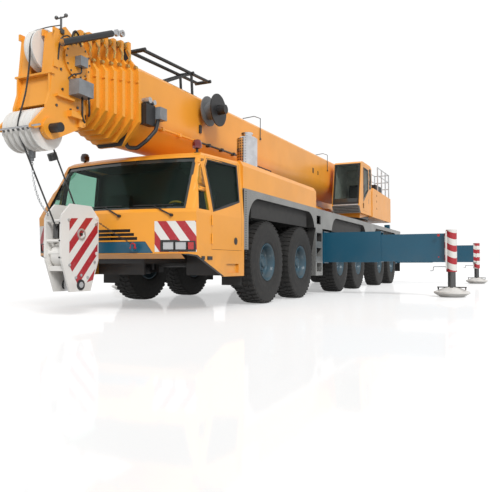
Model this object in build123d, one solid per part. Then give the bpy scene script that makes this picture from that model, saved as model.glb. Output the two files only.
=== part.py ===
"""A six-axle all-terrain mobile crane with a seven-section telescopic boom, outriggers out.

Millimetres, +Z up. The crane faces -Y and its left side is +X. Stations along the vehicle
are measured from axle 1; each solid is moved so that the origin lies on the ground under
the middle of the whole crane."""
from build123d import *
import math
import os

# Clearances
SEAT = 0.3
CLEAR = 5.0
RUNNING = 12.0

# Running gear
VEHICLE_WIDTH = 3000.0
TYRE_RADIUS = 745.0
TYRE_WIDTH = 430.0
RIM_RADIUS = 335.0
AXLE_STATIONS = [0.0, 1750.0, 4700.0, 6550.0, 9350.0, 11350.0]
STEERED_AXLES = [1, 2, 5, 6]
KINGPIN_X = 1000.0
DRUM_FACE_X = 1170.0
DRUM_BACK_X = 1110.0
HALF_WIDTH = VEHICLE_WIDTH / 2
WHEEL_X = HALF_WIDTH - TYRE_WIDTH / 2

# Chassis frame
FRAME_HALF_WIDTH = 430.0
NECK_HALF_WIDTH = 430.0
TOW_EYE_RADIUS = 30.0
FRAME_TOP = 1550.0
FRAME_BOTTOM = 960.0
FRAME_FRONT = -2300.0
FRAME_REAR = 13200.0
DECK_TOP = 1960.0
LAMP_THICK = 40.0
REAR_LAMP_X = 1060.0
FLAP = 14.0
FLAP_X = 1060.0
FLAP_BOTTOM = 420.0
DECK_PLATE = 30.0
DECK_INNER_X = 400.0

# Slewing ring and superstructure
SLEW_Y = 7970.0
RING_RADIUS = 820.0
RING_TOP = 2060.0
TURNTABLE_PLATE = 90.0
CHEEK_X = 590.0
CHEEK_PLATE = 60.0

# Boom: the foot pin, and the forward end lies a little lower than the foot
BOOM_FOOT_Y = 9600.0
BOOM_FOOT_Z = 3150.0
BOOM_DROOP = 1.06
BOOM_HALF_WIDTH = 500.0
BOOM_HEIGHT = 1140.0
BOOM_WALL = 14.0
BOOM_STEP = 35.0
BOOM_BOTTOM_BELOW_PIN = 420.0
BOOM_BEVEL = 60.0
BASE_COLLAR_Y = -2600.0
COLLAR_PITCH = 145.0
COLLAR_DEPTH = 60.0
COLLAR_RIM = 30.0
COLLAR_SIDE_LOW = 0.62
COLLAR_FOOT = 0.42
SHOULDER_DROP = 120.0
SHOULDER_RISE = 90.0
LUG_HEIGHT = 370.0
LUG_PLACE = 0.66
LUG_WIDTH = 140.0
LUG_EYE = 60.0
SECTION_COUNT = 6
SECTION_TAIL_Y = 8800.0
SECTION_TRAVEL = 10000.0
LUFF_LIMIT = 82.0
FOOT_PIN_RADIUS = 80.0
EYE_PIN_RADIUS = 60.0
EYE_HALF = 165.0
REEL_HALF = 110.0

# Lift cylinder pins
CYLINDER_FOOT_Y = 7900.0
CYLINDER_FOOT_Z = 2330.0
CYLINDER_EYE_Y = 3600.0
CYLINDER_EYE_Z = 2450.0
BARREL_RADIUS = 150.0
ROD_RADIUS = 100.0
EYE_RADIUS = 125.0

# Outriggers: the left and right beams lie side by side in each box, so each has its own station
BEAM_STATIONS = {("front", "left"): 3640.0, ("front", "right"): 3300.0,
                 ("rear", "left"): 12450.0, ("rear", "right"): 12790.0}
JACK_X = 4280.0
JACK_SHIFT = 100.0
BEAM_DEPTH = 300.0
BEAM_TOP = 1450.0
BEAM_BOTTOM = 750.0
BEAM_WALL = 16.0
STAGE_DROP = 60.0
STAGE_PLAY = 8.0
STAGE_TRAVEL = 1350.0
OUTER_BEAM_LENGTH = 2630.0
SLEEVE_WALL = 24.0
SLEEVE_MOUTH = 1440.0
SLEEVE_BACK = 1240.0
INNER_BEAM_LENGTH = 2560.0
JACK_RADIUS = 112.0
JACK_ROD_RADIUS = 82.0
JACK_BOTTOM = 540.0
CRANK_REACH = 380.0
CRANK_DROP = 90.0
CRANK_RADIUS = 11.0
PAD_RADIUS = 375.0
FLANGE_HALF = 300.0
FLANGE = 18.0
HANDLE_BAR = 9.0
PAD_RIM_Z = 110.0
PAD_TOP = 150.0
JACK_LIFT = 300.0

# Carrier cab
CAB_REAR = -1040.0
CAB_WALL = 50.0
CAB_FLOOR = 1000.0
CAB_LIP = 860.0
GLASS = 8.0
DOOR_FRONT = -2090.0
DOOR_REAR = -1120.0
DOOR_BOTTOM = 930.0
HINGE_RADIUS = 16.0

# Crane cab
CRANE_CAB_INNER_X = 640.0
CRANE_CAB_OUTER_X = 1480.0
CRANE_CAB_FRONT = 6690.0
CRANE_CAB_REAR = 8250.0
CRANE_CAB_FLOOR = 2200.0
CRANE_CAB_ROOF = 3740.0
CRANE_CAB_WALL = 40.0

# Boom head and hook block
HEAD_SHEAVE_Y = -4100.0
HEAD_SHEAVE_Z = 2400.0
HEAD_SHEAVE_RADIUS = 265.0
TOP_SHEAVE_Y = -3920.0
TOP_SHEAVE_Z = 3470.0
TOP_SHEAVE_RADIUS = 275.0
HOOK_BLOCK_TOP = 1520.0
HOOK_BLOCK_BOTTOM = 340.0
HOOK_BLOCK_HALF = 150.0
BLOCK_Y = -3370.0
BLOCK_DEPTH = 720.0
BLOCK_SHEAVE_Z = 1120.0
GROOVE_DEPTH = 45.0
HOOK_EYE_RADIUS = 45.0
HOOK_EYE_HALF = 50.0
ROPE_RADIUS = 11.0
# Degrees forward of plumb that the short falls hang once the boom is fully raised
FALL_LEAD = 4.0

SIDES = {"left": 1, "right": -1}
ORIGIN_Y = (FRAME_REAR + HEAD_SHEAVE_Y - HEAD_SHEAVE_RADIUS) / 2


def polygon(points):
    """A flat face through the given corners."""
    return Face(Wire.make_polygon([Vector(*p) for p in points], close=True))


def prism_x(points_yz, x0, x1):
    """A side profile carried from x0 to x1."""
    face = polygon([(x0, y, z) for y, z in points_yz])
    return Part() + extrude(face, amount=x1 - x0, dir=(1, 0, 0))


def bent_bar(points, turn_radius, radius):
    """A round bar along straight runs that join in arcs."""
    path = Wire(FilletPolyline(*points, radius=turn_radius).edges())
    section = Plane(origin=path @ 0, z_dir=path % 0) * Circle(radius)
    return Part() + sweep(section, path=path)


def prism_y(points_xz, y0, y1):
    """A front profile carried from y0 to y1."""
    face = polygon([(x, y0, z) for x, z in points_xz])
    return Part() + extrude(face, amount=y1 - y0, dir=(0, 1, 0))


def block(x0, x1, y0, y1, z0, z1):
    """A box between two corners."""
    middle = ((x0 + x1) / 2, (y0 + y1) / 2, (z0 + z1) / 2)
    return Part() + Pos(*middle) * Box(x1 - x0, y1 - y0, z1 - z0)


def rod(start, end, radius):
    """A round bar between two points."""
    a, b = Vector(*start), Vector(*end)
    return Part() + Solid.make_cylinder(radius, (b - a).length, Plane(origin=a, z_dir=b - a))


def lathe_x(points_xr, y, z):
    """A profile of (x, radius) points turned about an axle along X at (y, z)."""
    face = polygon([(x, y, z + r) for x, r in points_xr])
    return Part() + revolve(face, axis=Axis((0, y, z), (1, 0, 0)), revolution_arc=360)


def lathe_z(points_rz, x, y):
    """A profile of (radius, z) points turned about an upright axis at (x, y)."""
    face = polygon([(x + r, y, z) for r, z in points_rz])
    return Part() + revolve(face, axis=Axis((x, y, 0), (0, 0, 1)), revolution_arc=360)


def both_sides(part):
    """The part and its mirror image across the vehicle's centre line."""
    return part + mirror(part, about=Plane.YZ)


def on_side(part, side):
    """The left-hand part, or its mirror image for the right."""
    return part if side > 0 else Part() + mirror(part, about=Plane.YZ)


def grown(points, amount):
    """A convex outline with every edge moved outward by an amount."""
    count = len(points)
    area = sum(points[i - 1][0] * points[i][1] - points[i][0] * points[i - 1][1] for i in range(count))
    turn = 1 if area > 0 else -1
    lines = []
    for i in range(count):
        (ax, ay), (bx, by) = points[i - 1], points[i]
        length = math.hypot(bx - ax, by - ay)
        nx, ny = turn * (by - ay) / length, -turn * (bx - ax) / length
        lines.append((nx, ny, nx * ax + ny * ay + amount))
    corners = []
    for i in range(count):
        (a, b, c), (d, e, f) = lines[i], lines[(i + 1) % count]
        scale = a * e - b * d
        corners.append(((c * e - b * f) / scale, (a * f - c * d) / scale))
    return corners


def tipped(y, z):
    """Where a point drawn in the level boom lies once the boom droops."""
    lean = math.radians(BOOM_DROOP)
    dy, dz = y - BOOM_FOOT_Y, z - BOOM_FOOT_Z
    return (BOOM_FOOT_Y + dy * math.cos(lean) - dz * math.sin(lean),
            BOOM_FOOT_Z + dy * math.sin(lean) + dz * math.cos(lean))


def in_boom(part):
    """Tip a part drawn level about the boom's foot pin to the boom's droop."""
    foot = Pos(0, BOOM_FOOT_Y, BOOM_FOOT_Z)
    return foot * Rot(X=BOOM_DROOP) * foot.inverse() * part


def write(node, *parts):
    """Move the node's solids to the row's origin and write them to one STEP file."""
    solids = []
    for part in parts:
        solids.extend((Pos(0, -ORIGIN_Y, 0) * part).solids())
    shape = solids[0] if len(solids) == 1 else Compound(children=solids)
    export_step(shape, f"parts/{node}.step")


# Running gear

def tyre(y):
    """A ring with rounded shoulders and bulged walls, on the left wheel's place."""
    half = TYRE_WIDTH / 2
    crown = TYRE_RADIUS - 22
    bead = RIM_RADIUS + SEAT
    section = [
        (-half + 40, bead), (-half, bead + 170), (-half + 12, crown - 60), (-half + 40, crown),
        (-half + 100, TYRE_RADIUS), (half - 100, TYRE_RADIUS), (half - 40, crown),
        (half - 12, crown - 60), (half, bead + 170), (half - 40, bead),
    ]
    return lathe_x([(WHEEL_X + x, r) for x, r in section], y, TYRE_RADIUS)


def rim(y):
    """The wheel: a barrel, a dished disc with its bolt face, and the hub cap."""
    half = TYRE_WIDTH / 2 - 30
    face = DRUM_FACE_X + SEAT
    section = [
        (face, 0), (face, 215), (face + 25, 290), (WHEEL_X - half, 300), (WHEEL_X - half, RIM_RADIUS),
        (WHEEL_X + half, RIM_RADIUS), (WHEEL_X + half, 305), (WHEEL_X + 60, 290),
        (face + 95, 265), (face + 75, 190), (WHEEL_X + 60, 170), (WHEEL_X + 120, 140), (WHEEL_X + 130, 0),
    ]
    return lathe_x(section, y, TYRE_RADIUS)


def knuckle(y):
    """Upright kingpin barrel, steering arm, spindle and brake drum on the left side."""
    z = TYRE_RADIUS
    pin = rod((KINGPIN_X, y, z - 150 + SEAT), (KINGPIN_X, y, z + 150 - SEAT), 75)
    spindle = rod((KINGPIN_X, y, z), (DRUM_FACE_X - 40, y, z), 95)
    drum = lathe_x([(DRUM_BACK_X, 0), (DRUM_BACK_X, 235), (DRUM_FACE_X, 235), (DRUM_FACE_X, 0)], y, z)
    arm = block(KINGPIN_X - 40, KINGPIN_X + 40, y, y + 260, z - 60, z - 20)
    return pin + spindle + drum + arm


def axle_beam(axle):
    """Banjo housing, tubes, and either kingpin yokes or fixed drums at the ends."""
    y = AXLE_STATIONS[axle - 1]
    z = TYRE_RADIUS
    tube = rod((-KINGPIN_X + 130, y, z), (KINGPIN_X - 130, y, z), 95)
    bowl = lathe_x([(-210, 0), (-210, 110), (-120, 215), (120, 215), (210, 110), (210, 0)], y, z)
    beam = tube + bowl
    for x in (-300.0, 300.0):
        beam += rod((x, y, z), (x, y, FRAME_BOTTOM - SEAT), 70)
    if axle in STEERED_AXLES:
        yoke = block(KINGPIN_X - 190, KINGPIN_X - 110, y - 80, y + 80, z - 200, z + 200)
        for z0 in (z - 200, z + 150):
            yoke += block(KINGPIN_X - 190, KINGPIN_X + 50, y - 55, y + 55, z0, z0 + 50)
        return beam + both_sides(yoke)
    drum = lathe_x([(KINGPIN_X - 140, 0), (KINGPIN_X - 140, 120), (DRUM_BACK_X, 120),
                    (DRUM_BACK_X, 235), (DRUM_FACE_X, 235), (DRUM_FACE_X, 0)], y, z)
    return beam + both_sides(drum)


def sleeve(y, wall, mouth):
    """One outrigger slot across the frame, mouth to the left, grown by its wall."""
    half = BEAM_DEPTH / 2 + STAGE_PLAY + wall
    return block(-SLEEVE_BACK - wall, mouth, y - half, y + half,
                 BEAM_BOTTOM - SEAT - wall, BEAM_TOP + STAGE_PLAY + wall)


def chassis_frame():
    """The box girder, outrigger boxes, slewing ring tower, underbody and rear lamps."""
    neck_top = CAB_FLOOR - CAB_WALL - SEAT
    girder = prism_x([
        (FRAME_FRONT, 720), (FRAME_FRONT, neck_top), (CAB_REAR + 20, neck_top), (CAB_REAR + 260, FRAME_TOP),
        (FRAME_REAR - 120, FRAME_TOP), (FRAME_REAR - 120, FRAME_BOTTOM + 200), (FRAME_REAR - 500, FRAME_BOTTOM),
        (-780, FRAME_BOTTOM), (-980, 720),
    ], -NECK_HALF_WIDTH, NECK_HALF_WIDTH)
    girder += block(-NECK_HALF_WIDTH, NECK_HALF_WIDTH, -2760, FRAME_FRONT + 1, 880, neck_top)
    girder += (cab_form(0) - cab_form(CAB_WALL)) & prism_y(TOW_PLATE, -3000, -2500)
    for x in (-640.0, 600.0):
        lug = block(x, x + 40, -2860, -2700, 890, 990)
        girder += lug - rod((x - 1, -2815, 940), (x + 41, -2815, 940), TOW_EYE_RADIUS)
    tower = lathe_z([(0, FRAME_TOP), (RING_RADIUS - 60, FRAME_TOP), (RING_RADIUS, 1760), (RING_RADIUS, 1990),
                     (RING_RADIUS - 80, 1990), (RING_RADIUS - 80, RING_TOP - SEAT), (0, RING_TOP - SEAT)], 0, SLEW_Y)
    frame = girder + tower
    for (end, side), y in BEAM_STATIONS.items():
        frame += on_side(sleeve(y, SLEEVE_WALL, SLEEVE_MOUTH), SIDES[side])
    for (end, side), y in BEAM_STATIONS.items():
        frame -= on_side(sleeve(y, 0, SLEEVE_MOUTH + 1), SIDES[side])
    bar_back = FRAME_REAR - LAMP_THICK
    frame += block(-HALF_WIDTH + 20, HALF_WIDTH - 20, FRAME_REAR - 121, bar_back, 900, 1240)
    frame += both_sides(block(FLAP_X, HALF_WIDTH - 30, FRAME_REAR - 121, FRAME_REAR - 121 + FLAP, FLAP_BOTTOM, 901))
    lamp = block(REAR_LAMP_X, HALF_WIDTH - 40, bar_back + SEAT, FRAME_REAR, 980, 1120)
    return [frame, lamp, Part() + mirror(lamp, about=Plane.YZ)]


# Deck, fenders and ladder

LADDER_FRONT = 2660.0
LADDER_WIDTH = {"left": 490.0, "right": 430.0}
LADDER_BOTTOM = 450.0
LADDER_RAIL = 70.0
STEP_RISE = 340.0
STEP_HEIGHT = 190.0
ARCH_TOP = 1840.0
ARCH_LIP = 1500.0
ARCH_DROP = 600.0
ARCH_CORNER = 440.0
LINER = 20.0
# Each wheel arch: where its opening starts and ends at the lip
ARCHES = [(-870.0, 2590.0), (3870.0, 7400.0), (8440.0, 12255.0)]
SIDE_PANEL = 30.0
VALANCE_X = 1410.0


def arch(start, end, grow, x0, x1):
    """The room of a wheel arch with round upper corners, grown outward by a wall."""
    low, top = ARCH_LIP - ARCH_DROP, ARCH_TOP + grow
    radius = ARCH_CORNER + grow
    line = FilletPolyline((x0, start - grow, low), (x0, start - grow, top), (x0, end + grow, top),
                          (x0, end + grow, low), radius=radius)
    base = Line((x0, end + grow, low), (x0, start - grow, low))
    face = Face(Wire(line.edges() + base.edges()))
    return Part() + extrude(face, amount=x1 - x0, dir=(1, 0, 0))


def deck_side():
    """The left half of the deck with its side panel, arches and liners."""
    front = CAB_REAR + CLEAR
    rear = FRAME_REAR - 160
    panel = prism_x([(front, 950), (front, DECK_TOP), (rear, DECK_TOP), (rear, ARCH_LIP + 20),
                     (ARCHES[0][0] + 10, ARCH_LIP + 20), (ARCHES[0][0] + 10, 950)],
                    HALF_WIDTH - SIDE_PANEL, HALF_WIDTH)
    for start, end in ARCHES:
        panel -= arch(start, end, 0, HALF_WIDTH - SIDE_PANEL - 1, HALF_WIDTH + 1)
    plate = block(DECK_INNER_X, HALF_WIDTH - 1, front, rear, DECK_TOP - DECK_PLATE, DECK_TOP)
    web = block(DECK_INNER_X, DECK_INNER_X + 24, CAB_REAR + 300, rear, FRAME_TOP + SEAT, DECK_TOP)
    side = panel + plate + web
    for start, end in ARCHES:
        liner = arch(start, end, LINER, FRAME_HALF_WIDTH + SEAT, HALF_WIDTH - LINER / 2)
        liner -= arch(start, end, 0, 0, HALF_WIDTH)
        side += liner & block(0, HALF_WIDTH, start - 30, end + 30, ARCH_LIP + 20, DECK_TOP)
        side += block(VALANCE_X - LINER, VALANCE_X, start + 300, end - 300, ARCH_LIP + 10, ARCH_TOP + LINER / 2)
    step = LADDER_FRONT + LADDER_RAIL
    side -= block(HALF_WIDTH - SIDE_PANEL - 1, HALF_WIDTH + 1, step, step + LADDER_WIDTH["right"] - 2 * LADDER_RAIL,
                  DECK_TOP - STEP_HEIGHT - 160, DECK_TOP - 160)
    side -= rod((0, SLEW_Y, FRAME_TOP), (0, SLEW_Y, DECK_TOP + 1), RING_RADIUS + RUNNING)
    return side


def ladder(side):
    """A folded plate with its step openings, on a bracket out from the frame."""
    rear = LADDER_FRONT + LADDER_WIDTH[side]
    z1 = ARCH_LIP + 20 - SEAT
    plate = block(HALF_WIDTH - 190, HALF_WIDTH, LADDER_FRONT, rear, LADDER_BOTTOM, z1)
    for i in range(3):
        z0 = LADDER_BOTTOM + 90 + i * STEP_RISE
        plate -= block(HALF_WIDTH - 160, HALF_WIDTH + 1, LADDER_FRONT + LADDER_RAIL, rear - LADDER_RAIL,
                       z0, z0 + STEP_HEIGHT)
    bracket = block(FRAME_HALF_WIDTH + SEAT, HALF_WIDTH - 180, 2860, 2960, 1000, 1100)
    return on_side(plate + bracket, SIDES[side])


# Carrier cab

# Each level: z, half width at the rear, half width at the front corner, corner y, centre y
CAB_LEVELS = [
    (520.0, 1500.0, 1470.0, -2470.0, -2790.0),
    (1450.0, 1500.0, 1470.0, -2530.0, -2790.0),
    (2340.0, 1440.0, 1280.0, -2090.0, -2240.0),
    (2400.0, 1390.0, 1230.0, -1990.0, -2120.0),
]
CAB_ROOF = 2400.0


def cab_form(inset, low=None, high=None):
    """The cab's outer form moved inward by a wall, as a loft of rounded-front levels."""
    wires = []
    for z, rear_half, front_half, corner_y, centre_y in CAB_LEVELS:
        rear = CAB_REAR - inset
        a, b = rear_half - inset, front_half - inset
        corner, centre = corner_y + inset, centre_y + inset
        sides = Polyline((b, corner, z), (a, rear, z), (-a, rear, z), (-b, corner, z))
        front = ThreePointArc((-b, corner, z), (0, centre, z), (b, corner, z))
        wires.append(Wire(sides.edges() + front.edges()))
    form = Part() + Solid.make_loft(wires, ruled=True)
    if low is not None:
        form &= block(-HALF_WIDTH, HALF_WIDTH, -3000, 0, low, high)
    return form


# Front opening of the windscreen in x and z
WINDSCREEN = [(-1310, 1500), (1310, 1500), (1215, 2305), (-1215, 2305)]
# Side outlines in y and z: the door, the window in it, and the fixed window ahead of it
DOOR = [(DOOR_FRONT, DOOR_BOTTOM), (DOOR_REAR, DOOR_BOTTOM), (DOOR_REAR, 2350), (DOOR_FRONT + 120, 2350),
        (DOOR_FRONT, 2200)]
DOOR_WINDOW = [(DOOR_FRONT + 60, 1500), (DOOR_REAR - 60, 1720), (DOOR_REAR - 60, 2300),
               (DOOR_FRONT + 150, 2300), (DOOR_FRONT + 60, 2180)]
QUARTER_WINDOW = [(-2440, 1500), (DOOR_FRONT - 45, 1500), (DOOR_FRONT - 45, 2190), (-2190, 2290)]
# Grille rows on the cab's front: lower edge, and how far the slots reach to each side
GRILLE_ROWS = [(1056.0, 620.0), (1114.0, 570.0), (1170.0, 510.0)]
GRILLE_SLOT = 44.0
GRILLE_POST_X = 165.0
GRILLE_POST = 26.0
GRILLE_DEPTH = 35.0
# Lamp cluster: its pocket, and each lens from its inner to its outer edge
LAMP_POCKET = (985.0, 1440.0)
LAMP_LENSES = [(1000.0, 1145.0), (1175.0, 1320.0), (1345.0, 1425.0)]
LAMP_LOW = 905.0
LAMP_HIGH = 1037.0
LAMP_DEPTH = 25.0
LAMP_FRAME = 10.0
# Where the cab's panels meet: beside the front corners, under the roof and over the floor
CORNER_X = 1150.0
ROOF_SEAM = 2340.0
# Boarding step in the cab's side, from front to rear and from bottom to top
CAB_STEP = (-1640.0, -1230.0, 575.0, 715.0)
HANDLE_Y = -1336.0
HANDLE_Z = 1074.0
HANDLE_RADIUS = 48.0
HANDLE_DEPTH = 20.0
# Beacons on the roof: x, y
BEACONS = [(1130.0, -1930.0), (-1200.0, -1770.0)]
# Front outline of the tow plate in x and z
TOW_PLATE = [(-850, 872), (850, 872), (740, 1030), (-740, 1030)]

HINGE_X = 1487.0
HINGE_LEVELS = [1060.0, 1330.0]
HINGE_RELIEF = 4.0
KNUCKLE = 50.0


def hinge(x, y, levels, moving, radius=HINGE_RADIUS):
    """Upright hinge barrels: the middle knuckle moves, those above and below it are fixed."""
    parts = Part()
    for z in levels:
        spans = [(z, z + KNUCKLE)]
        if not moving:
            spans = [(z - KNUCKLE - SEAT, z - SEAT), (z + KNUCKLE + SEAT, z + 2 * KNUCKLE + SEAT)]
        for z0, z1 in spans:
            parts += rod((x, y, z0), (x, y, z1), radius)
    return parts


def hinge_relief(x, y, levels, moving):
    """Room round the other half's knuckles."""
    return hinge(x, y, levels, moving, HINGE_RADIUS + HINGE_RELIEF)


CAB_HINGE = (HINGE_X, DOOR_FRONT - CLEAR / 2, HINGE_LEVELS)


def rectangle(a0, a1, z0, z1):
    """The corners of an upright rectangle."""
    return [(a0, z0), (a1, z0), (a1, z1), (a0, z1)]


def front_pocket(outline, depth):
    """What a pocket of that outline and depth takes out of the cab's front."""
    return prism_y(outline, -3000, -2300) - cab_form(depth)


def grille():
    """The slots of the grille, each row in three lengths between two posts."""
    slots = Part()
    inner, outer = GRILLE_POST_X - GRILLE_POST / 2, GRILLE_POST_X + GRILLE_POST / 2
    for z, reach in GRILLE_ROWS:
        for x0, x1 in ((-reach, -outer), (-inner, inner), (outer, reach)):
            slots += front_pocket(rectangle(x0, x1, z, z + GRILLE_SLOT), GRILLE_DEPTH)
    return slots


def lamp_lenses():
    """The three lenses of the left lamp cluster, seated in their pocket."""
    layer = cab_form(4) - cab_form(LAMP_DEPTH - SEAT)
    low, high = LAMP_LOW + LAMP_FRAME, LAMP_HIGH - LAMP_FRAME
    return [layer & prism_y(rectangle(x0, x1, low, high), -3000, -2300) for x0, x1 in LAMP_LENSES]


def beacon(x, y):
    """A flashing beacon on its stalk."""
    z = CAB_ROOF + SEAT
    return lathe_z([(0, z), (45, z), (45, z + 18), (20, z + 26), (20, z + 70), (66, z + 80), (74, z + 110),
                    (74, z + 160), (55, z + 205), (0, z + 225)], x, y)


def cab_panels(shell):
    """The cab as the panels it is made of: tub, roof, rear wall, front and two sides."""
    far = 4000
    rear = DOOR_REAR + CLEAR
    floor, seam = CAB_FLOOR + SEAT, ROOF_SEAM - SEAT
    spaces = [
        block(-far, far, -far, 0, 0, CAB_FLOOR),
        block(-far, far, -far, 0, ROOF_SEAM, far),
        block(-far, far, rear, 0, floor, seam),
        block(-CORNER_X, CORNER_X, -far, rear - SEAT, floor, seam),
        block(CORNER_X + SEAT, far, -far, rear - SEAT, floor, seam),
        block(-far, -CORNER_X - SEAT, -far, rear - SEAT, floor, seam),
    ]
    return [shell & space for space in spaces]


def carrier_cab():
    """The hollow cab shell with its window and door openings and fixed hinge knuckles."""
    reach = HALF_WIDTH + 10
    shell = cab_form(0) - cab_form(CAB_WALL, CAB_FLOOR, CAB_ROOF - CAB_WALL)
    shell -= cab_form(CAB_WALL, 0, CAB_FLOOR - CAB_WALL)
    shell -= block(-NECK_HALF_WIDTH - CLEAR, NECK_HALF_WIDTH + CLEAR, CAB_REAR - 300, 0, 400, CAB_FLOOR - CAB_WALL)
    shell -= prism_y(grown(TOW_PLATE, CLEAR), -3000, -2500)
    shell -= prism_x([(-3000, 400), (-1720, 400), (-1720, 530), (-2540, CAB_LIP), (-3000, CAB_LIP)], -reach, reach)
    shell -= prism_y(WINDSCREEN, -3000, -1900)
    shell -= both_sides(prism_x(grown(DOOR, CLEAR), 1200, reach) + prism_x(QUARTER_WINDOW, 1000, reach))
    shell -= grille()
    y0, y1, z0, z1 = CAB_STEP
    shell -= both_sides(front_pocket(rectangle(*LAMP_POCKET, LAMP_LOW, LAMP_HIGH), LAMP_DEPTH)
                        + block(HALF_WIDTH - 120, reach, y0, y1, z0, z1))
    shell += both_sides(hinge(*CAB_HINGE, False) & block(0, reach, -3000, DOOR_FRONT + 14, 0, 3000))
    return cab_panels(shell - both_sides(hinge_relief(*CAB_HINGE, True)))


def cab_door():
    """The left door: skin, window opening and hinge knuckles, with its pane."""
    skin = cab_form(0) - cab_form(CAB_WALL)
    skin &= prism_x(DOOR, 1200, HALF_WIDTH + 10)
    skin -= prism_x(DOOR_WINDOW, 1200, HALF_WIDTH + 10)
    skin -= rod((HALF_WIDTH - HANDLE_DEPTH, HANDLE_Y, HANDLE_Z), (HALF_WIDTH + 1, HANDLE_Y, HANDLE_Z), HANDLE_RADIUS)
    pane = (cab_form(16) - cab_form(16 + GLASS)) & prism_x(grown(DOOR_WINDOW, -SEAT), 1200, HALF_WIDTH + 10)
    return skin + hinge(*CAB_HINGE, True) - hinge_relief(*CAB_HINGE, False), pane


def carrier_cab_glass():
    """Windscreen and quarter panes that follow the cab's form, and the lamps' lenses."""
    sheet = cab_form(16) - cab_form(16 + GLASS)
    screen = sheet & prism_y(grown(WINDSCREEN, -SEAT), -3000, -1900)
    quarter = sheet & prism_x(grown(QUARTER_WINDOW, -SEAT), 1000, HALF_WIDTH + 10)
    pieces = [quarter] + lamp_lenses()
    return [screen] + pieces + [Part() + mirror(piece, about=Plane.YZ) for piece in pieces]


def seat(x, y, z):
    """A driver's seat facing forward: pedestal, cushion, back and headrest in one solid."""
    side = prism_x([(y - 200, z), (y + 180, z), (y + 150, z + 230), (y + 260, z + 240), (y + 380, z + 900),
                    (y + 290, z + 930), (y + 150, z + 400), (y - 260, z + 380), (y - 270, z + 250),
                    (y - 170, z + 230)], x - 240, x + 240)
    return side


def cab_interior():
    """Two seats, the dashboard and the steering wheel inside the carrier cab."""
    floor = CAB_FLOOR + SEAT
    seats = [seat(x, -1560, floor) for x in (-850.0, 850.0)]
    dash = prism_x([(-2330, floor), (-2120, floor), (-2060, 1340), (-2110, 1440), (-2330, 1440)], -1200, 1200)
    column = rod((850, -2150, 1330), (850, -1960, 1500), 30)
    wheel = Pos(850, -1960, 1500) * Rot(X=-48) * Part(Torus(215, 16).solids())
    wheel += Pos(850, -1960, 1500) * Rot(X=-48) * Part(Box(420, 40, 14).solids())
    return seats + [dash + column + wheel]


# Engine housing behind the cab

HOUSING_REAR = 2760.0
HOUSING_TOP = 2420.0
SILENCER_X = 1200.0
SILENCER_Y = -290.0
SILENCER_RADIUS = 185.0


def engine_housing():
    """The covered engine bay across the deck, with chamfered upper edges."""
    x = HALF_WIDTH - 20
    z0 = DECK_TOP + SEAT
    cover = prism_y([(-x, z0), (x, z0), (x, HOUSING_TOP - 90), (x - 60, HOUSING_TOP), (-x + 60, HOUSING_TOP),
                     (-x, HOUSING_TOP - 90)], CAB_REAR + CLEAR, HOUSING_REAR)
    return cover


def silencer():
    """Upright exhaust silencer with a smaller neck and a collar."""
    z0 = HOUSING_TOP + SEAT
    r = SILENCER_RADIUS
    return lathe_z([(0, z0), (r, z0), (r, z0 + 520), (r - 40, z0 + 550), (90, z0 + 555), (90, z0 + 600),
                    (105, z0 + 600), (105, z0 + 630), (0, z0 + 630)], SILENCER_X, SILENCER_Y)


def engine_block():
    """The engine as one plain block over axle 1, above the frame."""
    half = DECK_INNER_X - 40
    return block(-half, half, -600, 900, FRAME_TOP + SEAT, DECK_TOP - 40)


# Outriggers

def outer_beam(y):
    """First stage, a square tube that slides in the chassis sleeve."""
    x1 = SLEEVE_MOUTH + STAGE_TRAVEL - 20
    x0 = x1 - OUTER_BEAM_LENGTH
    half = BEAM_DEPTH / 2
    tube = block(x0, x1, y - half, y + half, BEAM_BOTTOM, BEAM_TOP)
    return tube - block(x0 - 1, x1 + 1, y - half + BEAM_WALL, y + half - BEAM_WALL,
                        BEAM_BOTTOM + BEAM_WALL, BEAM_TOP - BEAM_WALL)


def inner_beam(y, jack_y):
    """Second stage, lower than the first, with the jack's housing across its end."""
    x1 = JACK_X - JACK_RADIUS + 25
    x0 = x1 - INNER_BEAM_LENGTH
    half = BEAM_DEPTH / 2 - BEAM_WALL - STAGE_PLAY
    bottom = BEAM_BOTTOM + BEAM_WALL + SEAT
    top = BEAM_TOP - BEAM_WALL - STAGE_DROP
    tube = block(x0, x1, y - half, y + half, bottom, top)
    tube -= block(x0 - 1, x1 - 40, y - half + BEAM_WALL, y + half - BEAM_WALL, bottom + BEAM_WALL, top - BEAM_WALL)
    saddle = block(x1 - 45, JACK_X + 20, min(y, jack_y) - half + 40, max(y, jack_y) + half - 40, bottom, top)
    tube += saddle + rod((JACK_X, jack_y, JACK_BOTTOM), (JACK_X, jack_y, BEAM_TOP), JACK_RADIUS)
    crank_z = JACK_BOTTOM + 110
    tube += bent_bar([(JACK_X - JACK_RADIUS + 10, jack_y, crank_z), (JACK_X - CRANK_REACH, jack_y, crank_z),
                      (JACK_X - CRANK_REACH, jack_y, crank_z - CRANK_DROP),
                      (JACK_X - CRANK_REACH - 70, jack_y, crank_z - CRANK_DROP)], 25, CRANK_RADIUS)
    return tube - rod((JACK_X, jack_y, JACK_BOTTOM - 1), (JACK_X, jack_y, BEAM_TOP - 20), JACK_ROD_RADIUS + SEAT)


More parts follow.
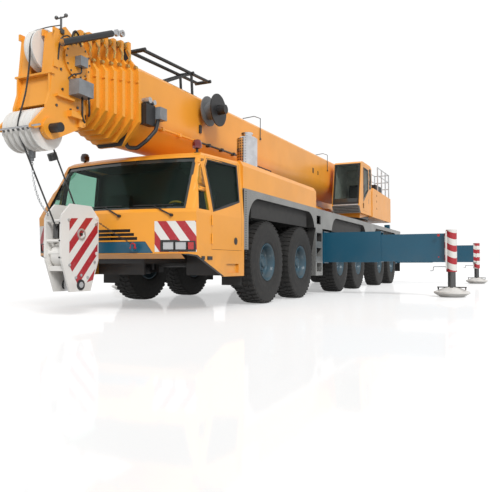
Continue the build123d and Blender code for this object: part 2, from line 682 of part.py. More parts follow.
def outrigger_foot(y):
    """The jack's rod, its conical pad on the ground, and the flange bar with two carrying handles."""
    neck = PAD_TOP + 50
    foot = lathe_z([(0, 0), (PAD_RADIUS - 130, 0), (PAD_RADIUS, PAD_RIM_Z - 30), (PAD_RADIUS, PAD_RIM_Z),
                    (JACK_ROD_RADIUS + 70, neck), (JACK_ROD_RADIUS, neck),
                    (JACK_ROD_RADIUS, BEAM_TOP - 340), (0, BEAM_TOP - 340)], JACK_X, y)
    foot += block(JACK_X - FLANGE_HALF, JACK_X + FLANGE_HALF, y - 70, y + 70, neck - 1, neck + FLANGE)
    for side in (-1, 1):
        x = JACK_X + side * (FLANGE_HALF - 20)
        z = neck + FLANGE / 2
        foot += bent_bar([(x, y - 60, z), (x, y - 60, z - 60), (x, y + 60, z - 60), (x, y + 60, z)], 25, HANDLE_BAR)
    return foot


def jack_station(end, side):
    """The jack stands nearer the middle of its box than its beam does."""
    other = BEAM_STATIONS[(end, "left" if side == "right" else "right")]
    y = BEAM_STATIONS[(end, side)]
    return y + math.copysign(JACK_SHIFT, other - y)


# Superstructure

def turntable():
    """The rotating bed: ring plate, floor and two cheeks that carry the boom foot."""
    z0 = RING_TOP
    z1 = RING_TOP + TURNTABLE_PLATE
    bed = rod((0, SLEW_Y, z0), (0, SLEW_Y, z1), RING_RADIUS + 40)
    bed += block(-CHEEK_X - CHEEK_PLATE, CHEEK_X + CHEEK_PLATE, 7000, 11200, z0, z1)
    cheek = prism_x([(7350, z1), (7750, 2480), (8900, 2900), (9350, BOOM_FOOT_Z + 230),
                     (9850, BOOM_FOOT_Z + 230), (10350, 2700), (11150, 2600), (11150, z1)],
                    CHEEK_X, CHEEK_X + CHEEK_PLATE)
    bed += both_sides(cheek)
    end = CHEEK_X + CHEEK_PLATE
    bed += rod((-end, BOOM_FOOT_Y, BOOM_FOOT_Z), (end, BOOM_FOOT_Y, BOOM_FOOT_Z), FOOT_PIN_RADIUS)
    for x in (-230.0, 170.0):
        ear = prism_x([(CYLINDER_FOOT_Y - 190, z1), (CYLINDER_FOOT_Y - 110, CYLINDER_FOOT_Z + 110),
                       (CYLINDER_FOOT_Y + 110, CYLINDER_FOOT_Z + 110), (CYLINDER_FOOT_Y + 190, z1)], x, x + 60)
        bed += ear
    bed += rod((-230, CYLINDER_FOOT_Y, CYLINDER_FOOT_Z), (230, CYLINDER_FOOT_Y, CYLINDER_FOOT_Z), EYE_PIN_RADIUS)
    arm = block(CHEEK_X + CHEEK_PLATE - 1, CRANE_CAB_OUTER_X - 90, 7100, 8200, z0 + 10, CRANE_CAB_FLOOR - SEAT)
    return bed + arm


SIDE_HOUSING_TOP = 3100.0
SIDE_HOUSING_REAR = 11150.0


# Pockets in the housing's side, by height
HOUSING_POCKETS = [2487.0, 2723.0, 2908.0]
POCKET_Y = 8890.0
# Guard rail on the left housing: stations of its posts, and heights of its bars
RAIL_POSTS = [9280.0, 9900.0, 10520.0, 11090.0]
RAIL_BARS = [3380.0, 3625.0, 3880.0]
RAIL_X = (950.0, 1450.0)
RAIL_RADIUS = 15.0
POST_RADIUS = 22.0


def guard_rail():
    """Posts and bars of the guard rail along the housing's outer and inner edge and across its rear."""
    rail = Part()
    meet = RAIL_RADIUS + SEAT
    for x in RAIL_X:
        for y in RAIL_POSTS:
            rail += rod((x, y, SIDE_HOUSING_TOP - 90), (x, y, RAIL_BARS[-1] + POST_RADIUS), POST_RADIUS)
        for z in RAIL_BARS[1:]:
            rail += rod((x, RAIL_POSTS[0], z), (x, RAIL_POSTS[-1] - meet, z), RAIL_RADIUS)
    for z in RAIL_BARS:
        rail += rod((RAIL_X[0], RAIL_POSTS[-1], z), (RAIL_X[1], RAIL_POSTS[-1], z), RAIL_RADIUS)
    return rail


def side_housing():
    """Left machinery cover behind the crane cab with its sloped front, and the right one."""
    z0 = RING_TOP + TURNTABLE_PLATE + 30
    inner = CHEEK_X + CHEEK_PLATE + SEAT
    profile = [(CRANE_CAB_REAR + 30, z0), (CRANE_CAB_REAR + 30, 2980), (8420, SIDE_HOUSING_TOP),
               (SIDE_HOUSING_REAR, SIDE_HOUSING_TOP - 70), (SIDE_HOUSING_REAR, z0)]
    housing = prism_x(profile, inner, HALF_WIDTH)
    for z in HOUSING_POCKETS:
        housing -= block(HALF_WIDTH - 20, HALF_WIDTH + 1, POCKET_Y - 25, POCKET_Y + 25, z - 35, z + 35)
    packs = Part()
    for y in (9500.0, 9980.0):
        packs += block(RAIL_X[0] + 90, RAIL_X[1] - 110, y, y + 380, SIDE_HOUSING_TOP - 90, SIDE_HOUSING_TOP + 260)
    return [housing + guard_rail() + packs, Part() + mirror(housing, about=Plane.YZ)]


WINCH_Y = 10780.0
WINCH_Z = 2620.0


def winch_drum():
    """Hoist drum with two flanges, held on its shaft between the cheeks."""
    x = CHEEK_X - SEAT
    return lathe_x([(-x, 0), (-x, 70), (-420, 70), (-420, 330), (-390, 330), (-390, 240), (390, 240), (390, 330),
                    (420, 330), (420, 70), (x, 70), (x, 0)], WINCH_Y, WINCH_Z)


# Crane cab

def crane_cab_outline(inset):
    """Side outline of the crane cab in y and z, with its raked front."""
    return [(CRANE_CAB_FRONT + inset, CRANE_CAB_FLOOR + 200), (CRANE_CAB_FRONT + 180 + inset, CRANE_CAB_FLOOR + inset),
            (CRANE_CAB_REAR - inset, CRANE_CAB_FLOOR + inset), (CRANE_CAB_REAR - inset, CRANE_CAB_ROOF - 60 - inset),
            (CRANE_CAB_REAR - 200, CRANE_CAB_ROOF - inset), (7080 + inset, CRANE_CAB_ROOF - inset),
            (6960 + inset, CRANE_CAB_ROOF - 60 - inset)]


CRANE_DOOR_FRONT = 7120.0
CRANE_DOOR_REAR = 7860.0
CRANE_CAB_SIDE = CRANE_CAB_INNER_X + 20
# Outlines in y and z: the side door, the window in it, and the fixed window behind it
CRANE_DOOR = [(CRANE_DOOR_FRONT, CRANE_CAB_FLOOR + 90), (CRANE_DOOR_REAR, CRANE_CAB_FLOOR + 90),
              (CRANE_DOOR_REAR, CRANE_CAB_ROOF - 110), (CRANE_DOOR_FRONT, CRANE_CAB_ROOF - 110)]
CRANE_DOOR_WINDOW = [(CRANE_DOOR_FRONT + 70, 2560), (CRANE_DOOR_REAR - 60, 2960), (CRANE_DOOR_REAR - 60, 3570),
                     (CRANE_DOOR_FRONT + 70, 3570)]
CRANE_SIDE_WINDOW = [(7920, 3010), (8170, 3060), (8170, 3620), (7920, 3620)]
# Front opening in x and z
SCREEN_LOW = 2480.0
SCREEN_HIGH = 3660.0
CRANE_SCREEN = [(CRANE_CAB_SIDE + CRANE_CAB_WALL, SCREEN_LOW), (CRANE_CAB_OUTER_X - CRANE_CAB_WALL, SCREEN_LOW),
                (CRANE_CAB_OUTER_X - CRANE_CAB_WALL, SCREEN_HIGH), (CRANE_CAB_SIDE + CRANE_CAB_WALL, SCREEN_HIGH)]
HINGE_REACH = 14.0
CRANE_HINGE = (CRANE_CAB_OUTER_X + 6, CRANE_DOOR_REAR + CLEAR / 2, [2600.0, 3300.0])


def crane_cab_panels(shell):
    """The crane cab as its panels: inner side, the four bars round the door, floor pan, roof and rear wall."""
    far = 9000
    inner, outer = CRANE_CAB_SIDE + CRANE_CAB_WALL, CRANE_CAB_OUTER_X - CRANE_CAB_WALL
    ahead, behind = CRANE_DOOR_FRONT - CLEAR - SEAT, CRANE_DOOR_REAR - HINGE_REACH
    middle = (CRANE_CAB_FLOOR + CRANE_CAB_ROOF) / 2
    spaces = [
        block(0, inner - SEAT, 0, far, 0, far),
        block(outer + SEAT, far, 0, ahead, 0, far),
        block(outer + SEAT, far, behind, far, 0, far),
        block(outer + SEAT, far, ahead + SEAT, behind - SEAT, 0, middle),
        block(outer + SEAT, far, ahead + SEAT, behind - SEAT, middle, far),
        block(inner, outer, 0, far, 0, SCREEN_LOW),
        block(inner, outer, 0, far, SCREEN_HIGH, far),
        block(inner, outer, CRANE_CAB_REAR - CRANE_CAB_WALL - 1, far, SCREEN_LOW + SEAT, SCREEN_HIGH - SEAT),
    ]
    return [shell & space for space in spaces]


def crane_cab():
    """The hollow crane cab with window openings and hinge knuckles, and the driver's seat."""
    w = CRANE_CAB_WALL
    x0, x1 = CRANE_CAB_SIDE, CRANE_CAB_OUTER_X
    shell = prism_x(crane_cab_outline(0), x0, x1) - prism_x(crane_cab_outline(w), x0 + w, x1 - w)
    shell -= prism_y(CRANE_SCREEN, CRANE_CAB_FRONT - 10, CRANE_DOOR_FRONT - 60)
    shell -= prism_x(grown(CRANE_DOOR, CLEAR), x1 - w - 1, x1 + 1)
    shell -= prism_x(CRANE_SIDE_WINDOW, x1 - w - 1, x1 + 1)
    shell += hinge(*CRANE_HINGE, False) & block(0, x1 + 40, CRANE_DOOR_REAR - HINGE_REACH, 9000, 0, 4000)
    shell -= hinge_relief(*CRANE_HINGE, True)
    chair = seat(x0 + 415, 7750, CRANE_CAB_FLOOR + w + SEAT)
    return crane_cab_panels(shell) + [chair]


def crane_cab_glass():
    """Full-height raked windscreen and the rear side pane."""
    x0, x1 = CRANE_CAB_SIDE, CRANE_CAB_OUTER_X
    middle = x1 - CRANE_CAB_WALL / 2
    sheet = prism_x(crane_cab_outline(12), x0, x1) - prism_x(crane_cab_outline(12 + GLASS), x0 - 1, x1 + 1)
    screen = sheet & prism_y(grown(CRANE_SCREEN, -SEAT), CRANE_CAB_FRONT - 10, CRANE_DOOR_FRONT - 60)
    pane = prism_x(grown(CRANE_SIDE_WINDOW, -SEAT), middle, middle + GLASS)
    return [screen, pane]


def crane_cab_door():
    """Side door hung at its rear edge, with its window pane."""
    x1 = CRANE_CAB_OUTER_X
    w = CRANE_CAB_WALL
    frame = prism_x(CRANE_DOOR, x1 - w, x1) - prism_x(CRANE_DOOR_WINDOW, x1 - w - 1, x1 + 1)
    frame += hinge(*CRANE_HINGE, True)
    frame -= hinge_relief(*CRANE_HINGE, False)
    pane = prism_x(grown(CRANE_DOOR_WINDOW, -SEAT), x1 - w / 2, x1 - w / 2 + GLASS)
    return frame, pane


# Boom

BOOM_BOTTOM = BOOM_FOOT_Z - BOOM_BOTTOM_BELOW_PIN
BOOM_TOP = BOOM_BOTTOM + BOOM_HEIGHT


def boom_bar(step, y0, y1):
    """A full bar with bevelled top corners and a half-round belly, step inside the base tube's outline."""
    half = BOOM_HALF_WIDTH - step
    top, bottom = BOOM_TOP - step, BOOM_BOTTOM + step
    side = BOOM_BOTTOM + BOOM_HALF_WIDTH
    upper = Polyline((half, y0, side), (half, y0, top - BOOM_BEVEL), (half - BOOM_BEVEL, y0, top),
                     (-half + BOOM_BEVEL, y0, top), (-half, y0, top - BOOM_BEVEL), (-half, y0, side))
    belly = ThreePointArc((-half, y0, side), (0, y0, bottom), (half, y0, side))
    return Part() + extrude(Face(Wire(upper.edges() + belly.edges())), amount=y1 - y0, dir=(0, 1, 0))


def boom_tube(step, y0, y1):
    """A hollow boom tube that is step millimetres smaller all round than the base tube."""
    return boom_bar(step, y0, y1) - boom_bar(step + BOOM_WALL, y0 - 1, y1 + 1)


def collar(step, y, bore_step):
    """The angular stiffening collar at a tube's mouth, with the lug plates on its top."""
    half = BOOM_HALF_WIDTH - step + COLLAR_RIM
    top, bottom = BOOM_TOP - step + COLLAR_RIM, BOOM_BOTTOM + step - COLLAR_RIM
    low = bottom + half * COLLAR_SIDE_LOW
    foot, lug = half * COLLAR_FOOT, half * LUG_PLACE
    lug_top = BOOM_TOP + LUG_HEIGHT - 0.5 * step
    outline = [(foot, bottom), (half, low), (half, top - SHOULDER_DROP), (lug, top + SHOULDER_RISE), (lug, lug_top),
               (lug - LUG_WIDTH, lug_top), (lug - LUG_WIDTH, top)]
    ring = prism_y(outline + [(-x, z) for x, z in reversed(outline)], y, y + COLLAR_DEPTH)
    ring -= boom_bar(bore_step, y - 1, y + COLLAR_DEPTH + 1)
    for x in (lug - LUG_WIDTH / 2, -lug + LUG_WIDTH / 2):
        ring -= rod((x, y - 1, lug_top - LUG_EYE), (x, y + COLLAR_DEPTH + 1, lug_top - LUG_EYE), LUG_EYE / 2)
    return ring


REEL_X = 700.0
REEL_Y = -620.0
REEL_Z = 3620.0


def boom_base():
    """Base tube with its foot bosses, collar, reel shaft, side pipe, hose and the lift cylinder's bracket."""
    tail = BOOM_FOOT_Y + 260
    tube = boom_tube(0, BASE_COLLAR_Y, tail)
    tube += collar(0, BASE_COLLAR_Y, BOOM_STEP - SEAT)
    boss_end = CHEEK_X - CLEAR
    for x0, x1 in ((-boss_end, -BOOM_HALF_WIDTH + BOOM_WALL), (BOOM_HALF_WIDTH - BOOM_WALL, boss_end)):
        tube += rod((x0, BOOM_FOOT_Y, BOOM_FOOT_Z), (x1, BOOM_FOOT_Y, BOOM_FOOT_Z), 160)
    tube -= rod((-CHEEK_X, BOOM_FOOT_Y, BOOM_FOOT_Z), (CHEEK_X, BOOM_FOOT_Y, BOOM_FOOT_Z), FOOT_PIN_RADIUS + SEAT)
    for x in (-230.0, 170.0):
        y, z = CYLINDER_EYE_Y, CYLINDER_EYE_Z
        ear = prism_x([(y - 420, BOOM_BOTTOM + 60), (y - 90, z - 100), (y + 90, z - 100), (y + 420, BOOM_BOTTOM + 60)],
                      x, x + 60)
        tube += ear - boom_bar(BOOM_WALL / 2, BASE_COLLAR_Y, tail)
        tube += rod((x - 30, y, z), (x + 90, y, z), EYE_PIN_RADIUS) \
            - block(-EYE_HALF - SEAT, EYE_HALF + SEAT, 0, 9000, 0, 9000)
    tube += rod((BOOM_HALF_WIDTH - BOOM_WALL / 2, REEL_Y, REEL_Z), (REEL_X - REEL_HALF - SEAT, REEL_Y, REEL_Z), 60)
    tube += side_pipe()
    tube += bent_bar(BOOM_HOSE, 90, HOSE_RADIUS) - boom_bar(BOOM_WALL / 2, BASE_COLLAR_Y, tail)
    return [in_boom(tube)] + [in_boom(part) for part in side_boxes()] + [in_boom(jib_arm())]


# Pipe along the boom's left side, and the hose that hangs from the valve box round to the belly
PIPE_X = 508.0
PIPE_Z = 3045.0
PIPE_RADIUS = 18.0
PIPE_ENDS = (-2130.0, 700.0)
PIPE_CLAMPS = [-1980.0, -1480.0, -980.0, -480.0, 20.0, 520.0]
HOSE_RADIUS = 30.0
BOOM_HOSE = [(620, -2230, 3120), (640, -2330, 2940), (590, -2470, 2780), (420, -2490, 2670), (250, -2490, 2690),
             (190, -2490, 2800)]


def side_pipe():
    """A steel pipe held by blocks on the boom's side."""
    belly = BOOM_BOTTOM + BOOM_HALF_WIDTH
    pipe = rod((PIPE_X, PIPE_ENDS[0], PIPE_Z), (PIPE_X, PIPE_ENDS[1], PIPE_Z), PIPE_RADIUS)
    inside = math.sqrt(BOOM_HALF_WIDTH ** 2 - (belly - PIPE_Z) ** 2) - BOOM_WALL / 2
    for y in PIPE_CLAMPS:
        pipe += block(inside, PIPE_X + 28, y, y + 60, PIPE_Z - 28, PIPE_Z + 28)
    return pipe


def side_boxes():
    """Valve box and terminal box behind the base collar, seated on the boom's left side."""
    x = BOOM_HALF_WIDTH + SEAT
    back = BASE_COLLAR_Y + COLLAR_DEPTH + 15
    valve = block(x, x + 110, back, back + 230, 3010, 3320)
    terminal = block(x, x + 190, back + 250, back + 430, 3125, 3310)
    ports = rod((x, back + 80, 3375), (x + 130, back + 80, 3375), 45)
    return [valve, terminal, ports, rod((x, back + 200, 3365), (x + 130, back + 200, 3365), 38)]


# Twin-tube arm on top of the boom: its two lines in x, and its stations and heights
ARM_X = (120.0, 350.0)
ARM_FRONT = (-2240.0, 4236.0)
ARM_REAR = (-172.0, 4306.0)
ARM_RADIUS = 28.0
ARM_FEET = (-1750.0, -700.0)
ARM_KNEE = (-790.0, 4285.0)


def jib_arm():
    """The arm's two tubes with their ties, slanted legs and foot plate on the boom."""
    z = BOOM_TOP + SEAT
    arm = block(ARM_X[0] - 60, ARM_X[1] + 60, ARM_FEET[0], ARM_FEET[1], z, z + 20)
    for x in ARM_X:
        arm += rod((x, *ARM_FRONT), (x, *ARM_REAR), ARM_RADIUS)
        arm += rod((x, ARM_FEET[0] + 60, z + 10), (x, *ARM_KNEE), ARM_RADIUS - 8)
        arm += rod((x, ARM_FEET[1] - 60, z + 10), (x, *ARM_KNEE), ARM_RADIUS - 4)
    for y, z in (ARM_FRONT, ARM_KNEE, ARM_REAR):
        arm += rod((ARM_X[0] - 50, y, z), (ARM_X[1] + 50, y, z), ARM_RADIUS + 4)
    return arm


def section_tube(number):
    """Tube and collar of telescoping section 1 to 6, each stepped inside the one before it."""
    step = number * BOOM_STEP
    front = BASE_COLLAR_Y - number * COLLAR_PITCH
    tail = SECTION_TAIL_Y - number * 60
    bore = step + (BOOM_STEP - SEAT if number < SECTION_COUNT else BOOM_WALL)
    return in_boom(boom_tube(step, front, tail) + collar(step, front, bore))


HEAD_HALF_WIDTH = 290.0


def boom_head():
    """The last section with its box head: two cheek plates, front plate and sheave seats."""
    front = BASE_COLLAR_Y - SECTION_COUNT * COLLAR_PITCH
    tube = section_tube(SECTION_COUNT)
    cheek = prism_x([(front + 10, 2560), (HEAD_SHEAVE_Y + 120, 2300), (HEAD_SHEAVE_Y - 60, 2320),
                     (HEAD_SHEAVE_Y - 60, 2700), (-4100, 2900), (-4030, 3640), (-3850, 3780),
                     (front + 10, 3560)], HEAD_HALF_WIDTH - 40, HEAD_HALF_WIDTH)
    head = both_sides(cheek)
    head += prism_x([(-4100, 2720), (-4060, 2720), (-4000, 3130), (-4040, 3130)], -HEAD_HALF_WIDTH, HEAD_HALF_WIDTH)
    head += block(-HEAD_HALF_WIDTH, HEAD_HALF_WIDTH, front - 120, front - 80, 2620, 3500)
    axle_z = HEAD_SHEAVE_Z
    head += rod((-470, HEAD_SHEAVE_Y, axle_z), (470, HEAD_SHEAVE_Y, axle_z), 60)
    head += rod((-HEAD_HALF_WIDTH, TOP_SHEAVE_Y, TOP_SHEAVE_Z), (HEAD_HALF_WIDTH, TOP_SHEAVE_Y, TOP_SHEAVE_Z), 50)
    head += head_fittings()
    return [tube + head] + head_boxes(front)


# Plates of the head's front on each side of the top sheave's slot, from outside to the slot's edge
SLOT_PLATES = [(-290.0, -110.0), (110.0, 290.0)]
FACE_LOW = 3130.0
GUARD_Y = -4392.0
GUARD_Z = 2375.0
GUARD_RADIUS = 12.0
CYLINDER_X = 420.0
ARM_CYLINDER = ((-4045.0, 3480.0), (-3090.0, 3950.0))
ARM_CYLINDER_RADIUS = 45.0
DISC_Y = -3640.0
DISC_Z = 3400.0
DISC_RADIUS = 240.0


def head_fittings():
    """Front plates, sheave guard with its arms, axle bosses, side discs and the black cylinder's pivot."""
    parts = Part()
    for x0, x1 in SLOT_PLATES:
        parts += prism_x([(-4075, FACE_LOW - 10), (-4035, FACE_LOW - 10), (-3985, 3660), (-4025, 3660)], x0, x1)
    inner = HEAD_HALF_WIDTH - 40
    guard_arm = prism_x([(-4040, 2560), (-4180, 2640), (GUARD_Y - 14, GUARD_Z + 20), (GUARD_Y - 14, GUARD_Z - 20),
                         (-4330, GUARD_Z - 20), (-4160, 2440)], inner, HEAD_HALF_WIDTH)
    boss = rod((inner, HEAD_SHEAVE_Y, HEAD_SHEAVE_Z), (HEAD_HALF_WIDTH + 30, HEAD_SHEAVE_Y, HEAD_SHEAVE_Z), 135)
    disc = rod((inner, DISC_Y, DISC_Z), (HEAD_HALF_WIDTH + 25, DISC_Y, DISC_Z), DISC_RADIUS)
    parts += both_sides(guard_arm + boss + disc)
    parts += rod((-HEAD_HALF_WIDTH, GUARD_Y, GUARD_Z), (HEAD_HALF_WIDTH + 130, GUARD_Y, GUARD_Z), GUARD_RADIUS)
    start, end = ARM_CYLINDER
    pivot = (start[0] + 90, start[1] + 44)
    parts += rod((inner, *pivot), (CYLINDER_X, *pivot), 35)
    return parts + rod((CYLINDER_X, *start), (CYLINDER_X, *end), ARM_CYLINDER_RADIUS)


def head_boxes(front):
    """Terminal boxes on the head's left side, ahead of the last collar."""
    x = HEAD_HALF_WIDTH + SEAT
    plate = x + 25
    return [block(x, x + 170, front - 310, front - 30, 2910, 3110),
            block(plate, plate + 100, DISC_Y - 60, DISC_Y + 80, DISC_Z - 90, DISC_Z + 40)]


def grooved(count, half, radius, bore, y, z):
    """Sheaves side by side on one axle, as one turned profile with round-bottomed grooves."""
    pitch = 2 * half / count
    points = [(-half, bore), (-half, radius)]
    for i in range(count):
        x = -half + i * pitch
        points += [(x + 0.18 * pitch, radius), (x + 0.38 * pitch, radius - GROOVE_DEPTH),
                   (x + 0.62 * pitch, radius - GROOVE_DEPTH), (x + 0.82 * pitch, radius)]
    points += [(half, radius), (half, bore)]
    return lathe_x(points, y, z)


def hoist_falls():
    """Two rope falls from the middle groove of the head sheaves to the block's sheave."""
    start, end = Vector(0, HEAD_SHEAVE_Y, HEAD_SHEAVE_Z), Vector(0, BLOCK_Y, BLOCK_SHEAVE_Z)
    way = (end - start).normalized()
    across = Vector(0, -way.Z, way.Y) * (HEAD_SHEAVE_RADIUS - GROOVE_DEPTH + ROPE_RADIUS + SEAT)
    return [rod(start + across * side, end + across * side, ROPE_RADIUS) for side in (-1, 1)]


def hook_block():
    """Two cheek plates round a sheave, with cross pins and the swivel below."""
    z0, z1 = HOOK_BLOCK_BOTTOM, HOOK_BLOCK_TOP
    half, foot = BLOCK_DEPTH / 2, BLOCK_DEPTH / 2 - 160
    outline = [(BLOCK_Y - half, z1 - 160), (BLOCK_Y - half + 160, z1), (BLOCK_Y + half - 160, z1),
               (BLOCK_Y + half, z1 - 160), (BLOCK_Y + half, z0 + 420), (BLOCK_Y + foot, z0),
               (BLOCK_Y - foot, z0), (BLOCK_Y - half, z0 + 420)]
    eye_z = z0 + HOOK_EYE_RADIUS + 45
    cheek = prism_x(outline, HOOK_BLOCK_HALF - 30, HOOK_BLOCK_HALF)
    cheek -= rod((0, BLOCK_Y, eye_z), (HOOK_BLOCK_HALF + 1, BLOCK_Y, eye_z), HOOK_EYE_RADIUS + 25)
    body = both_sides(cheek)
    for dy, z in ((-half + 60, z0 + 520), (half - 60, z0 + 520)):
        body += rod((-HOOK_BLOCK_HALF, BLOCK_Y + dy, z), (HOOK_BLOCK_HALF, BLOCK_Y + dy, z), 28)
    body += prism_x([(BLOCK_Y - 90, z0 + 10), (BLOCK_Y + 90, z0 + 10), (BLOCK_Y + 110, z0 + 230),
                     (BLOCK_Y - 110, z0 + 230)], -HOOK_EYE_HALF, HOOK_EYE_HALF)
    body += rod((-HOOK_BLOCK_HALF, BLOCK_Y, z0 + 230), (HOOK_BLOCK_HALF, BLOCK_Y, z0 + 230), 40)
    body -= rod((-HOOK_EYE_HALF - 1, BLOCK_Y, eye_z), (HOOK_EYE_HALF + 1, BLOCK_Y, eye_z), HOOK_EYE_RADIUS)
    pin = HOOK_BLOCK_HALF - 1
    radius = HEAD_SHEAVE_RADIUS
    body += lathe_x([(-pin, 0), (-pin, 60), (-40, 60), (-40, radius), (-30, radius), (-12, radius - GROOVE_DEPTH),
                     (12, radius - GROOVE_DEPTH), (30, radius), (40, radius), (40, 60), (pin, 60), (pin, 0)],
                    BLOCK_Y, BLOCK_SHEAVE_Z)
    return body


def cable_reel():
    """Spring reel for the load-sensing cable: two flanges and a hub."""
    y, z = tipped(REEL_Y, REEL_Z)
    x0, x1 = REEL_X - REEL_HALF, REEL_X + REEL_HALF
    return lathe_x([(x0, 0), (x0, 265), (x0 + 20, 265), (x0 + 20, 150), (x1 - 20, 150), (x1 - 20, 285),
                    (x1, 285), (x1, 90), (x1 + 140, 80), (x1 + 140, 0)], y, z)


def lift_cylinder():
    """Barrel on its foot pin and the rod on its eye pin, drawn along the closed length."""
    foot = (0, CYLINDER_FOOT_Y, CYLINDER_FOOT_Z)
    eye = (0, *tipped(CYLINDER_EYE_Y, CYLINDER_EYE_Z))
    a, b = Vector(*foot), Vector(*eye)
    way = (b - a).normalized()
    mouth = a + way * ((b - a).length - 420)
    barrel = rod(a + way * 60, mouth, BARREL_RADIUS)
    barrel += rod((-EYE_HALF, foot[1], foot[2]), (EYE_HALF, foot[1], foot[2]), EYE_RADIUS)
    barrel -= rod((-EYE_HALF - 1, foot[1], foot[2]), (EYE_HALF + 1, foot[1], foot[2]), EYE_PIN_RADIUS + SEAT)
    barrel -= rod(a + way * 400, mouth + way, ROD_RADIUS + SEAT)
    stem = rod(a + way * 420, b - way * 60, ROD_RADIUS)
    stem += rod((-EYE_HALF, eye[1], eye[2]), (EYE_HALF, eye[1], eye[2]), EYE_RADIUS)
    return barrel, stem


def build():
    """Make every node and write it."""
    os.makedirs("parts", exist_ok=True)
    write("chassis_frame", *chassis_frame())
    write("axle_beams", *[axle_beam(axle) for axle in range(1, 7)])
    write("deck_and_fenders", both_sides(deck_side()), ladder("left"), ladder("right"))
    write("engine_housing", engine_housing(), silencer())
    write("engine_block", engine_block())
    write("carrier_cab", *carrier_cab(), *cab_interior(), *[beacon(x, y) for x, y in BEACONS])
    write("carrier_cab_glass", *carrier_cab_glass())
    door, pane = cab_door()
    for name, side in SIDES.items():
        write(f"cab_door_{name}", on_side(door, side), on_side(pane, side))
        for axle, y in enumerate(AXLE_STATIONS, start=1):
            write(f"wheel_{axle}_{name}", on_side(tyre(y), side), on_side(rim(y), side))
            if axle in STEERED_AXLES:
                write(f"knuckle_{axle}_{name}", on_side(knuckle(y), side))
        for end in ("front", "rear"):
            y, jack_y = BEAM_STATIONS[(end, name)], jack_station(end, name)
            write(f"outrigger_{end}_{name}_outer_beam", on_side(outer_beam(y), side))
            write(f"outrigger_{end}_{name}_inner_beam", on_side(inner_beam(y, jack_y), side))
            write(f"outrigger_{end}_{name}_foot", on_side(outrigger_foot(jack_y), side))
    write("superstructure", turntable(), *side_housing())
    write("hoist_winch_drum", winch_drum())
    write("crane_cab", *crane_cab())
    write("crane_cab_glass", *crane_cab_glass())
    write("crane_cab_door", *crane_cab_door())
    barrel, stem = lift_cylinder()
    write("lift_cylinder_barrel", barrel)
    write("lift_cylinder_rod", stem)
    write("boom_base", *boom_base())
    for number in range(1, SECTION_COUNT):
        write(f"boom_section_{number}", section_tube(number))
    write(f"boom_section_{SECTION_COUNT}", *boom_head())
    write("head_sheaves", grooved(5, 240, HEAD_SHEAVE_RADIUS, 60 + SEAT, HEAD_SHEAVE_Y, HEAD_SHEAVE_Z))
    write("top_sheave", grooved(1, 70, TOP_SHEAVE_RADIUS, 50 + SEAT, TOP_SHEAVE_Y, TOP_SHEAVE_Z))
    write("hoist_falls", *hoist_falls())
    write("hook_block", hook_block())
    write("cable_reel", cable_reel())


build()
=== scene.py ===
"""The looks of a six-axle mobile crane: paint, rubber, glass, ropes, small fittings, light and camera.

Metres, +Z up. The crane faces -Y and its left side is +X. Places are written as stations from
axle 1, as on the drawings of such a carrier, and at() moves them to the frame's own origin."""
import math

import bmesh
import bpy
from mathutils import Matrix, Vector
from mathutils.bvhtree import BVHTree


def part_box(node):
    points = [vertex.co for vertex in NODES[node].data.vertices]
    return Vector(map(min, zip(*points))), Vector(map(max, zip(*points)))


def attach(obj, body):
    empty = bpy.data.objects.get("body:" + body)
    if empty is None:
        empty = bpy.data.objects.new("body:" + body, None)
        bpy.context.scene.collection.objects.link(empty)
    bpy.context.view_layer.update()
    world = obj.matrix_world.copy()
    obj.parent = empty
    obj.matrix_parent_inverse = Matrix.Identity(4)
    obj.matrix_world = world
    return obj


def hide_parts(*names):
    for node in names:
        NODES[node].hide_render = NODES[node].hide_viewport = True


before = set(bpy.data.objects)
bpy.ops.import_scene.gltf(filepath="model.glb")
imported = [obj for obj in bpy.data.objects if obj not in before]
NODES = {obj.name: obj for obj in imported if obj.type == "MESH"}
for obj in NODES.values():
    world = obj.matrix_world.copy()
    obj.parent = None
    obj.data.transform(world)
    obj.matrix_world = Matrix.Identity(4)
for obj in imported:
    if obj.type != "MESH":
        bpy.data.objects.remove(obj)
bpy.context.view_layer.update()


def centre(node):
    """The middle of a CAD node's box."""
    low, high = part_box(node)
    return (low + high) / 2


AXLE_1 = centre("wheel_1_left").y
SIDES = {"left": 1, "right": -1}


def at(x, y, z):
    """A point given from axle 1, in the frame's own axes."""
    return Vector((x, y + AXLE_1, z))


# Colours, as linear values

YELLOW = (0.78, 0.315, 0.027)
BLUE = (0.009, 0.082, 0.140)
WHITE = (0.68, 0.665, 0.635)
RED = (0.36, 0.010, 0.020)
ALUMINIUM = (0.27, 0.27, 0.26)
DARK = (0.018, 0.018, 0.019)
RUBBER = (0.010, 0.0095, 0.009)
STEEL = (0.42, 0.42, 0.43)
CAB_TINT = (0.743, 0.896, 0.834)
CRANE_CAB_TINT = (0.82, 0.86, 0.84)
ROAD_DUST = (0.16, 0.13, 0.10)

BLOCK_STRIPE_PITCH = 0.207
# Puts the hook block's stripes at the height that they have in the photograph
BLOCK_STRIPE_OFFSET = 0.75 - (0.738 * (AXLE_1 - 3.431) - 0.675 * 1.1063) / BLOCK_STRIPE_PITCH

# Places that both the looks and the fittings use

CRANE_CAB_X = 1.07
BLOCK_Y = -3.370
SHEAVE_Z = 1.12
PIN_Z = 0.430
# How far the windscreen's side edges come in for each metre up
SCREEN_LEAN = 0.118
SILENCER = (1.2, -0.29, 2.7)
SILENCER_R = 0.185


# Materials

